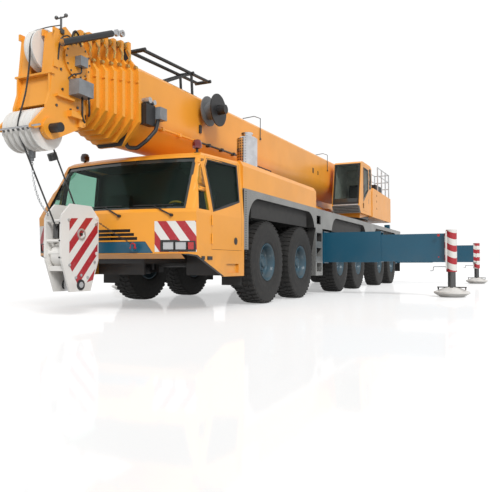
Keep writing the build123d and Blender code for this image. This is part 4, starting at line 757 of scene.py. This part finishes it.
def grid_over(bm, span_a, span_b, step, place, skip):
    """A sheet of small quads over a rectangle, each corner set by place(a, b)."""
    (a0, a1), (b0, b1) = span_a, span_b
    na, nb = math.ceil((a1 - a0) / step), math.ceil((b1 - b0) / step)
    rows = [[None] * (nb + 1) for _ in range(na + 1)]
    for i in range(na + 1):
        for j in range(nb + 1):
            rows[i][j] = bm.verts.new(place(a0 + (a1 - a0) * i / na, b0 + (b1 - b0) * j / nb))
    for i in range(na):
        for j in range(nb):
            a, b = a0 + (a1 - a0) * (i + 0.5) / na, b0 + (b1 - b0) * (j + 0.5) / nb
            if not skip(a, b):
                bm.faces.new((rows[i][j], rows[i + 1][j], rows[i + 1][j + 1], rows[i][j + 1]))
    loose = [v for v in bm.verts if not v.link_faces]
    bmesh.ops.delete(bm, geom=loose, context="VERTS")


# Small fittings


def fitting(name, material, body, fill, *values, slot=None, smooth=False):
    """One small piece on a body: fill(bm, *values) adds its forms."""
    bm = bmesh.new()
    fill(bm, *values)
    settle(from_bmesh(bm, name, MAT[material], smooth), body)


def stations(*places):
    """Points given from axle 1, in the frame's own axes."""
    return [at(*place) for place in places]


def block(bm, middle, half):
    """A box from its middle and half sizes."""
    half = Vector(half)
    add_box(bm, middle - half, middle + half)


def box(bm, low, high):
    """A box between two corners given from axle 1."""
    add_box(bm, at(*low), at(*high))


def side_box(bm, side, xs, ys, zs):
    """A box between limits that are given for the left side, put on either one."""
    x0, x1 = sorted(side * x for x in xs)
    box(bm, (x0, ys[0], zs[0]), (x1, ys[1], zs[1]))


def stud(bm, x0, x1, y, z, radius, sides):
    """A round bar along X."""
    add_tube(bm, at(x0, y, z), at(x1, y, z), radius, sides)


def add_washer(bm, middle, way, span, inner, outer, sides):
    """A flat ring about a point: span is where it starts and ends along its axis."""
    low, high = span
    add_turned(bm, [(low, inner), (low, outer), (high, outer), (high, inner)], middle, way, sides)


def wire(bm, points, radius, sides=8):
    """A chain of round bars through points, with a ball of a joint at each bend."""
    points = [Vector(p) for p in points]
    for start, end in zip(points, points[1:]):
        add_tube(bm, start, end, radius, sides)
    for p in points[1:-1]:
        ball(bm, p, radius * 1.04, 1)


def smooth_run(points, count=24):
    """Points along a smooth curve through a few given ones."""
    points = [Vector(p) for p in points]
    ends = [points[0] * 2 - points[1]] + points + [points[-1] * 2 - points[-2]]
    run = []
    for a, b, c, d in zip(ends, ends[1:], ends[2:], ends[3:]):
        for i in range(count):
            t = i / count
            run.append(0.5 * ((2 * b) + (c - a) * t + (2 * a - 5 * b + 4 * c - d) * t * t
                              + (3 * b - a - 3 * c + d) * t * t * t))
    return run + [points[-1]]


LINK_STEPS = 10


def chain_along(bm, points, link=0.042, radius=0.0055):
    """Chain links set end to end along a curve, every second one turned."""
    run = smooth_run(points, 60)
    lengths = [0.0]
    for a, b in zip(run, run[1:]):
        lengths.append(lengths[-1] + (b - a).length)
    count = int(lengths[-1] / (link * 0.74))
    for i in range(count):
        goal = lengths[-1] * (i + 0.5) / count
        k = max(1, next(j for j, done in enumerate(lengths) if done >= goal))
        way = (run[k] - run[k - 1]).normalized()
        turn = way.to_track_quat("Y", "Z").to_matrix().to_4x4() @ Matrix.Rotation(math.pi / 2 * (i % 2), 4, "Y")
        place = Matrix.Translation(run[k]) @ turn
        rings = []
        for x, y in around(LINK_STEPS, 1.0):
            core, out = Vector((0.30 * link * x, 0.42 * link * y, 0)), Vector((x, y, 0))
            rings.append([bm.verts.new(place @ (core + (out * math.cos(b) + Vector((0, 0, math.sin(b)))) * radius))
                          for b in (0.0, math.tau / 4, math.tau / 2, math.tau * 3 / 4)])
        for first, second in zip(rings, rings[1:] + rings[:1]):
            for m in range(4):
                n = (m + 1) % 4
                bm.faces.new((first[m], second[m], second[n], first[n]))


def add_warning_panels():
    """Striped sheets round the lamp clusters, with a black bezel to each cluster."""
    x0, x1, z0, z1 = PANEL
    p0, p1, q0, q1 = LAMP_POCKET
    gap, rim = 0.008, 0.016
    outer = refined(rectangle(p0 - rim, p1 + rim, q0 - rim, q1 + rim), 0.04)
    inner = held_in(outer, p0 + 0.012, p1 - 0.012, q0 + 0.014, q1 - 0.014)
    for side, sign in SIDES.items():
        def bezel_point(a, b):
            return front_point(sign * a, z0, 0.010) + Vector((0, 0, b - z0))

        def bezel(bm):
            ribbon(bm, *[[bezel_point(*p) for p in loop] for loop in (outer, inner)])
            for a in LENS_GAPS:
                low = bezel_point(a, q0)
                add_box(bm, low - Vector((LENS_BAR_HALF, 0, 0)), low + Vector((LENS_BAR_HALF, 0.004, q1 - q0)))

        fitting(f"warning_panel_{side}", f"stripe_{side}", "carrier", grid_over, (x0, x1), (z0, z1), 0.0145,
                lambda a, b: front_point(sign * a, b, PROUD), lambda a, b: in_window(LAMP_POCKET, a, b, gap))
        fitting(f"lamp_bezel_{side}", "black", "carrier", bezel)


def add_pillar_covers():
    """Yellow strips that give each front pillar an even width between windscreen and quarter pane."""
    rows, z0, height = 28, 1.50, 0.79

    def strip(bm, sign):
        lines = []
        for i in range(rows + 1):
            z = z0 + height * i / rows
            x0 = 1.318 - SCREEN_LEAN * (z - z0)
            x1 = first_facing([(1.40 - 0.004 * k, FRONT_START, z) for k in range(60)], BACKWARD, 0.6)[0]
            y = first_facing([(SIDE_START, -2.50 + 0.004 * k, z) for k in range(100)], Vector((-1, 0, 0)), 0.8)[1]
            line = [front_point(sign * (x0 + (x1 - x0) * j / 3), z, PROUD) for j in range(4)]
            line += [side_point(sign, y + back, z, PROUD) for back in (0.004, 0.012)]
            lines.append([bm.verts.new(p) for p in line])
        for low, high in zip(lines, lines[1:]):
            for j in range(len(low) - 1):
                bm.faces.new((low[j], low[j + 1], high[j + 1], high[j]))

    for side, sign in SIDES.items():
        fitting(f"pillar_cover_{side}", "yellow", "carrier", strip, sign, smooth=True)


def add_wipers():
    """Three wipers parked along the windscreen's lower edge."""
    def fill(bm):
        for x in WIPER_PIVOTS:
            base = front_point(x, 1.405, 0.0)
            knee = front_point(x - 0.17, 1.492, 0.03)
            tip, heel = (front_point(x - reach, 1.555, 0.02) for reach in (0.62, 0.02))
            middle = (tip + heel) / 2
            add_tube(bm, base + Vector((0, 0.01, 0)), base + Vector((0, -0.035, 0)), 0.022, 12)
            add_tube(bm, base + Vector((0, -0.028, 0)), knee, 0.011, 8)
            add_tube(bm, knee, middle, 0.008, 8)
            wire(bm, [tip, middle + Vector((0, -0.006, 0)), heel], 0.009)
    fitting("wipers", "black", "carrier", fill)


def add_cab_fittings():
    """Door gaskets and handles, side markers, backs of the steps, tether, front lip and tow shackles."""
    loop = refined(DOOR_WINDOW, 0.08)
    y0, y1, z0, z1 = CAB_STEP
    for side, sign in SIDES.items():
        door = f"cab_door_{side}"
        outer, inner = ([side_point(sign, *p, PROUD) for p in shrunk(loop, half)]
                        for half in (-GASKET_WIDTH / 2, GASKET_WIDTH / 2))
        for edge, p in zip(outer, inner):
            p.x = edge.x
        rim = [side_point(sign, HANDLE[0] + a, HANDLE[1] + sign * b, 0.004) for a, b in around(28, HANDLE_R)]

        def handle(bm):
            sheet(bm, rim)
            block(bm, side_point(sign, *HANDLE, 0.007), (0.006, 0.036, 0.012))

        fitting(f"door_gasket_{side}", "black", door, ribbon, outer, inner)
        fitting(f"side_markers_{side}", "black", "carrier", lambda bm: [
            block(bm, side_point(sign, y, 0.80, 0.004), (0.006, half, 0.026))
            for y, half in ((-2.34, 0.042), (-2.15, 0.068))])
        fitting(f"door_handle_{side}", "black", door, handle)
        depth = abs(side_point(sign, y0 - 0.03, (z0 + z1) / 2, -0.030).x)
        fitting(f"step_back_{side}", "yellow", "carrier", block,
                at(sign * depth, (y0 + y1) / 2, (z0 + z1) / 2), (0.004, (y1 - y0) / 2, (z1 - z0) / 2))
    fitting("tether", "rope", "carrier", chain_along,
            stations((0.16, -3.02, 1.30), (0.40, -2.93, 1.13), (0.615, -2.83, 0.985)), 0.030, 0.004)
    fitting("front_lip", "yellow", "carrier", sheet, stations(
        (-1.30, -2.66, 0.862), (1.30, -2.66, 0.862), (1.27, -2.50, 0.790), (-1.27, -2.50, 0.790)))

    def shackles(bm):
        for x in (0.62, -0.62):
            wire(bm, stations((x - 0.03, -2.84, 0.94), (x - 0.035, -2.84, 0.985), (x, -2.845, 1.005),
                              (x + 0.035, -2.84, 0.985), (x + 0.03, -2.84, 0.94)), 0.012)
            stud(bm, x - 0.05, x + 0.05, -2.84, 0.94, 0.013, 10)
    fitting("tow_shackles", "red", "carrier", shackles)


def add_crane_cab_fittings():
    """Black frames round the crane cab's panes, the louvres under its screen and the door's handle."""
    outer = refined(rectangle(0.680, 1.460, 2.452, 3.672), 0.1)
    inner = held_in(outer, 0.724, 1.416, 2.508, 3.625)
    loops = [[Vector((a, crane_front(0.69, b, 0.006).y, b)) for a, b in loop] for loop in (outer, inner)]
    fitting("crane_screen_frame", "black", "superstructure", ribbon, *loops)
    fitting("crane_louvres", "dark", "superstructure", lambda bm: [
        block(bm, crane_front(CRANE_CAB_X, 2.235 + 0.042 * i, 0.002), (0.375, 0.006, 0.008))
        for i in range(5)])
    for outline, name, body in ((CRANE_DOOR_WINDOW, "crane_door_gasket", "crane_cab_door"),
                                (CRANE_SIDE_WINDOW, "crane_side_gasket", "superstructure")):
        loop = refined(outline, 0.1)
        bands = [[at(1.4835, y, z) for y, z in shrunk(loop, amount)] for amount in (-0.020, 0.018)]
        fitting(name, "black", body, ribbon, *bands)
    fitting("crane_door_handle", "black", "crane_cab_door", block, at(1.488, 7.19, 2.44), (0.007, 0.018, 0.075))


def add_block_fittings():
    """Stripes, bosses, bars, drum, pin, socket and dark marks of the hook block."""
    y0 = BLOCK_Y
    outline = [(-0.222, 0.70), (-0.225, 1.29), (-0.19, 1.325), (0.30, 1.365), (0.338, 1.33), (0.338, 0.80),
               (0.245, 0.49), (0.11, 0.455), (-0.07, 0.455)]
    bolts = [(-0.24, 1.30), (0.29, 1.27), (-0.22, 0.70), (0.27, 0.74), (0.0, 0.56), (-0.10, 0.53), (0.13, 0.53)]
    for side in (1, -1):
        def bosses(bm):
            add_washer(bm, at(side * 0.155, y0, SHEAVE_Z), (1, 0, 0), (-0.01, 0.012), 0.055, 0.078, 32)
            for y, z in bolts:
                stud(bm, side * 0.145, side * 0.164, y0 + y, z, 0.020, 6)

        fitting(f"block_stripes_{side}", "stripe_block", "hook_block", sheet,
                [at(side * 0.1515, y0 + y, z) for y, z in outline])
        fitting(f"block_bosses_{side}", "zinc", "hook_block", bosses)

    def bars(bm):
        for z in (1.285, 1.020):
            stud(bm, -0.13, 0.13, y0 - 0.335, z, 0.022, 16)
        add_turned(bm, [(-0.115, 0.02), (-0.115, 0.150), (-0.075, 0.172), (0.075, 0.172), (0.115, 0.150),
                        (0.115, 0.02)], at(0.0, y0 - 0.150, 0.830), (1, 0, 0), 40)
        box(bm, (-0.118, y0 - 0.30, 0.62), (0.118, y0 - 0.20, 0.69))
        for z in (1.36, 0.86):
            stud(bm, -0.16, 0.16, y0 + 0.315, z, 0.026, 16)
        for x in (-0.135, 0.135):
            box(bm, (x - 0.016, y0 - 0.372, 0.80), (x + 0.016, y0 - 0.350, 1.33))

    def dark_marks(bm):
        for side in (1, -1):
            add_washer(bm, at(side * 0.150, y0, PIN_Z), (1, 0, 0), (-0.02, 0.010), 0.040, 0.074, 32)
        for z in (1.25, 1.02, 0.80):
            add_tube(bm, at(0.12, y0 - 0.368, z), at(0.12, y0 - 0.378, z), 0.012, 8)
        stud(bm, 0.146, 0.165, y0, SHEAVE_Z, 0.022, 16)

    fitting("block_bars", "white", "hook_block", bars)
    fitting("block_pin", "zinc", "hook_block", stud, -0.166, 0.166, y0, PIN_Z, 0.040, 24)
    fitting("block_socket", "dark_steel", "hook_block", box, (-0.060, y0 - 0.300, 1.06), (0.020, y0 - 0.250, 1.25))
    fitting("block_marks", "black", "hook_block", dark_marks)


# Boxes on the boom head, as low and high corners
HEAD_PLATES = [((-0.31, -4.115, 3.10), (0.31, -4.05, 3.125)), ((-0.28, -4.11, 2.72), (-0.255, -4.06, 3.10)),
               ((0.255, -4.11, 2.72), (0.28, -4.06, 3.10)), ((0.29, -4.02, 2.83), (0.34, -3.72, 2.86)),
               ((0.29, -3.80, 2.62), (0.36, -3.60, 2.70)), ((0.29, -3.62, 2.52), (0.33, -3.55, 2.74)),
               *[((x - 0.01, -4.06, 3.62), (x + 0.02, -3.98, 3.70)) for x in (-0.30, -0.12, 0.10, 0.28)],
               ((0.29, -4.06, 3.20), (0.31, -3.99, 3.66))]
# Hoses on the boom head: radius, points to a span, and the places that it runs through
HEAD_HOSES = [(0.014, 24, ((0.37, -3.62, 2.92), (0.41, -3.66, 2.78), (0.36, -3.60, 2.66), (0.33, -3.52, 2.60))),
              (0.014, 24, ((0.42, -3.55, 2.92), (0.43, -3.55, 2.82), (0.38, -3.49, 2.72), (0.34, -3.46, 2.70))),
              (0.010, 24, ((0.36, -3.63, 3.32), (0.38, -3.66, 3.22), (0.34, -3.75, 3.18), (0.30, -3.80, 3.12))),
              (0.010, 24, ((0.31, -4.00, 3.30), (0.33, -3.98, 3.55), (0.36, -3.90, 3.63), (0.40, -3.84, 3.60))),
              (0.012, 24, ((0.40, -3.88, 3.55), (0.40, -3.80, 3.72), (0.36, -3.66, 3.68), (0.31, -3.6, 3.62))),
              (0.007, 6, ((-0.10, -4.00, 3.735), (0.10, -3.96, 3.765), (0.27, -3.92, 3.775)))]
# Bolts on the boom head's side plates, and the ring of them round the top sheave's pin
HEAD_BOLTS = [(-3.95, 3.55), (-3.93, 3.2), (-3.9, 2.95), (-3.75, 2.72), (-3.62, 2.78), (-4.0, 2.72)]
BOLT_RING = (-3.640, 3.400)
# The hoist rope's way down the head's front
FRONT_ROPE = [(-4.02, 3.705), (-4.135, 3.62), (-4.185, 3.47), (-4.20, 3.2), (-4.25, 2.85), (-4.345, 2.52),
              (-4.368, 2.40)]


def add_head_fittings():
    """Rope down the front, switch chain and weights, bolts, plates, hoses, wind gauge and arm cylinder rod."""
    head = "boom_section_6"
    fitting("front_rope", "rope", head, wire, smooth_run([at(0.03, y, z) for y, z in FRONT_ROPE], 6), 0.011)
    fitting("signal_chain", "zinc", head, chain_along, stations(
        (-0.01, -4.10, 2.03), (-0.01, -4.08, 1.85), (-0.04, -4.00, 1.66), (-0.09, -3.86, 1.497),
        (-0.116, -3.70, 1.367)), slot="rope_steel")

    def weights(bm):
        for top, foot, radius in ((2.14, 2.06, 0.045), (2.06, 2.02, 0.028)):
            add_tube(bm, at(-0.01, -4.10, top), at(-0.01, -4.10, foot), radius, 20)

    def bolts(bm):
        for side in (-1, 1):
            for y, z in HEAD_BOLTS:
                stud(bm, side * 0.285, side * 0.302, y, z, 0.018, 8)
            for y, z in around(14, 0.215):
                stud(bm, side * 0.31, side * 0.325, BOLT_RING[0] + y, BOLT_RING[1] + z, 0.013, 6)
        for i in range(6):
            x = -0.20 + 0.08 * i
            add_tube(bm, at(x, -4.385, 2.375), at(x, -4.365, 2.345), 0.014, 8)

    def plates(bm):
        for corners in HEAD_PLATES:
            box(bm, *corners)

    def hoses(bm):
        for radius, count, places in HEAD_HOSES:
            wire(bm, smooth_run(stations(*places), count), radius)

    def mast(bm):
        y = -3.92
        add_tube(bm, at(0.28, y, 3.70), at(0.28, y, 3.88), 0.014, 10)
        stud(bm, 0.22, 0.34, y, 3.87, 0.010, 8)
        for x in (0.20, 0.36):
            ball(bm, at(x, y, 3.885), 0.026, 2)
        box(bm, (0.25, y - 0.03, 3.66), (0.31, y + 0.03, 3.72))

    def rod_end(bm):
        add_tube(bm, at(0.42, -3.12, 3.935), at(0.42, -2.98, 4.00), 0.026, 16)
        for y, z in ((-2.98, 4.00), (-2.86, 4.036)):
            add_washer(bm, at(0.42, y, z), (1, 0, 0), (-0.02, 0.02), 0.022, 0.048, 20)

    fitting("switch_weight", "grey", head, weights)
    fitting("rope_weight", "black", "hoist_falls", add_tube, at(0.0, -3.775, 2.17), at(0.0, -3.735, 2.09), 0.062, 20)
    fitting("head_bolts", "dark_steel", head, bolts)
    fitting("head_plates", "yellow", head, plates)
    fitting("head_hoses", "black", head, hoses)
    fitting("wind_gauge", "dark_steel", head, mast, slot="chassis_dark")
    fitting("arm_cylinder_rod", "zinc", head, rod_end)


def collar_y(k):
    """The station of a collar's front."""
    return -2.600 - 0.145 * k


def add_collar_fittings():
    """Pins, hooks and tabs on each collar's lugs, and black boxes in the last collar's slots, painted shade for their
    dark inside.
    """
    for k in range(7):
        node = "boom_base" if k == 0 else f"boom_section_{k}"
        y = collar_y(k)
        half = 0.530 - 0.035 * k
        lug = 0.66 * half
        top = 4.240 - 0.0175 * k - (BOOM_FOOT_Y - y) * DROOP

        def pins(bm):
            for side in (-1, 1):
                x, outer_x = side * (lug - 0.07), side * (half - 0.055)
                add_tube(bm, at(x, y - 0.03, top - 0.06), at(x, y + 0.09, top - 0.06), 0.020, 12)
                add_washer(bm, at(x, y - 0.035, top - 0.06), (0, 1, 0), (-0.014, 0.014), 0.030, 0.052, 16)
                add_tube(bm, at(outer_x, y - 0.025, top - 0.40), at(outer_x, y + 0.02, top - 0.40), 0.026, 12)
                wire(bm, [at(side * (lug + dx), y - dy, top - drop) for dx, dy, drop in
                          ((-0.02, 0.02, 0.12), (0.05, 0.03, 0.22), (0.02, 0.03, 0.30))], 0.012)

        def tabs(bm):
            for side in (-1, 1):
                side_box(bm, side, (lug, lug - 0.14), (y - 0.012, y), (top - 0.17, top - 0.15))
                block(bm, at(side * (half - 0.02), y - 0.008, top - 0.62), (0.022, 0.012, 0.016))

        fitting(f"collar_pins_{k}", "brass", node, pins)
        fitting(f"collar_tabs_{k}", "yellow", node, tabs)
    # Black boxes on the last collar's front: painted shade in its slots
    fitting("collar_slots", "black", "boom_section_6", lambda bm: [
        side_box(bm, 1, (x - 0.02, x + 0.02), (collar_y(6) - 0.0045, collar_y(6) - 0.001), (2.655, 2.72))
        for x in (0.10 + 0.062 * i for i in range(4))])


def add_boom_fittings():
    """Cable guides, dark marks and the reel's bracket on the boom's base tube."""
    def guides(bm):
        x = 0.512
        for y0, y1, top, foot in ((1.197, 1.843, 3.892, 3.437), (5.900, 6.754, 3.943, 3.479)):
            wire(bm, stations((0.40, y0, top - 0.14), (x, (y0 + y1) / 2, top - 0.03), (x, y1, top),
                              (x, y1, foot)), 0.009)
            stud(bm, 0.49, 0.53, y1, foot, 0.022, 12)

    def marks(bm):
        box(bm, (0.498, 5.41, 3.22), (0.506, 5.50, 3.36))
        add_washer(bm, at(0.499, 5.88, 3.28), (1, 0, 0), (0, 0.006), 0.035, 0.055, 20)

    fitting("cable_guides", "dark_steel", "boom_base", guides)
    fitting("boom_marks", "black", "boom_base", marks)
    fitting("reel_bracket", "dark", "boom_base", box, (0.50, -0.80, 3.02), (0.53, -0.74, 3.16))


def add_carrier_fittings():
    """Handrails, mud flaps, toothed panel edges and beam locks of the carrier."""
    def rails(bm):
        foot, top, y0, y1 = 2.42, 2.53, 0.02, 0.80
        for x, posts in ((1.20, (0.25, 0.55)), (-1.20, ())):
            wire(bm, stations((x, y0, foot), (x, y0, top), (x, y1, top), (x, y1, foot)), 0.012)
            for y in posts:
                add_tube(bm, at(x, y, foot), at(x, y, top), 0.008, 8)

    def flaps(bm):
        for side in (-1, 1):
            side_box(bm, side, (1.10, 1.31), (2.645, 2.658), (0.33, 1.0))
            side_box(bm, side, (1.06, 1.42), (-0.99, -0.975), (0.36, 1.0))

    def teeth(bm):
        for x in (-HALF_WIDTH, HALF_WIDTH):
            for z in (0.80 + 0.038 * i for i in range(30)):
                box(bm, (x - 0.003, -0.985, z), (x + 0.003, -0.950, z + 0.016))

    fitting("housing_rails", "black", "carrier", rails)
    fitting("mud_flaps", "liner", "carrier", flaps)
    fitting("edge_teeth", "dark", "carrier", teeth)
    fitting("beam_locks", "blue", "carrier", lambda bm: [
        side_box(bm, side, (1.22, 1.40), (11.42, 11.58), (1.955, 2.13)) for side in (-1, 1)])


def add_outrigger_fittings():
    """White jack brackets and red lamps at the ends of the four outriggers."""
    for side, sign in SIDES.items():
        for end in ("front", "rear"):
            node = f"outrigger_{end}_{side}_inner_beam"
            foot_y = centre(f"outrigger_{end}_{side}_foot").y
            y0, y1 = foot_y - 0.118, foot_y + 0.118

            def bracket(bm):
                x0, x1 = sorted(sign * x for x in (4.168, 4.20))
                for y in (y0, y1):
                    add_box(bm, (x0, y - 0.008, 0.60), (x1, y + 0.008, 1.42))
                x0, x1 = sorted(sign * x for x in (4.168, 4.19))
                for z in (0.60, 0.98, 1.40):
                    add_box(bm, (x0, y0, z - 0.010), (x1, y1, z + 0.010))

            def lamps(bm):
                x = sign * 4.03
                for y in (y0 - 0.012, y1 + 0.012):
                    for z, radius, sides in ((1.33, 0.030, 16), (0.86, 0.016, 12)):
                        add_tube(bm, (x, y - 0.008, z), (x, y + 0.008, z), radius, sides)

            fitting(f"jack_bracket_{end}_{side}", "white", node, bracket)
            fitting(f"beam_lamps_{end}_{side}", "red_lamp", node, lamps)


# Stage

CAMERA = at(5.500, -9.381, 0.721)
CAMERA_YAW = math.radians(25.014)
CAMERA_PITCH = math.radians(1.767)
LENS_MM = 40.705
# Strength of the sky as light and as seen, and what the floor adds where it is seen
SKY_LIGHT = 0.80
SKY_SEEN = 1.02
FLOOR_GLOW = 0.50
FLOOR_MIRROR = 0.24
SUN_STRENGTH = 2.3


def set_stage():
    """Pale floor, soft sky, a broad key light and the camera at the photograph's angle."""
    bm = bmesh.new()
    bmesh.ops.create_grid(bm, x_segments=1, y_segments=1, size=400.0)
    g = Graph(bpy.data.materials.new("floor"))
    tone = g.mix(g.ramp(g.noise(0.2, 2.0), 0.3, 0.7), (0.60, 0.60, 0.60), (0.61, 0.61, 0.61))
    rays = g.add("ShaderNodeLightPath").outputs
    seen = g.math("MAXIMUM", g.math("MAXIMUM", rays["Is Camera Ray"], rays["Is Glossy Ray"]),
                  rays["Is Transmission Ray"])
    g.finish(base_color=g.mix(seen, (0.30, 0.30, 0.30), tone), roughness=0.6, emission_color=(1.0, 1.0, 1.0),
             emission_strength=g.math("MULTIPLY", seen, FLOOR_GLOW), specular_ior_level=0.0)
    mirror = g.add("ShaderNodeBsdfGlossy", {"Color": (1.0, 1.0, 1.0), "Roughness": 0.06})
    g.cover_with(FLOOR_MIRROR, g.shader, mirror)
    floor = from_bmesh(bm, "floor", g.owner)
    sky = Graph(bpy.data.worlds.new("sky"), "Background")
    rays = sky.add("ShaderNodeLightPath").outputs
    straight = sky.math("MAXIMUM", rays["Is Camera Ray"], rays["Is Transmission Ray"])
    bpy.context.scene.world = sky.finish(color=(1.0, 1.0, 1.0), strength=sky.between(straight, SKY_LIGHT, SKY_SEEN))
    sun = bpy.data.lights.new("key", "SUN")
    sun.energy = SUN_STRENGTH
    sun.angle = math.radians(20)
    placed("key", sun).rotation_euler = (math.radians(52), 0, math.radians(47))
    data = bpy.data.cameras.new("camera")
    data.lens = LENS_MM
    data.sensor_width = 36.0
    data.sensor_fit = "HORIZONTAL"
    data.clip_end = 1500.0
    camera = placed("camera", data)
    camera.location = CAMERA
    camera.rotation_euler = (math.pi / 2 + CAMERA_PITCH, 0, CAMERA_YAW)
    bpy.context.scene.camera = camera
    bpy.context.scene.view_settings.view_transform = "Standard"


def corners(bounds):
    """A box's two corners as plain lists."""
    return [[float(c) for c in corner] for corner in bounds]


dress_nodes()
dress_wheels()
add_warning_panels()
add_wipers()
add_pillar_covers()
add_cab_fittings()
add_crane_cab_fittings()
add_block_fittings()
add_head_fittings()
add_collar_fittings()
add_boom_fittings()
add_carrier_fittings()
add_outrigger_fittings()
set_stage()
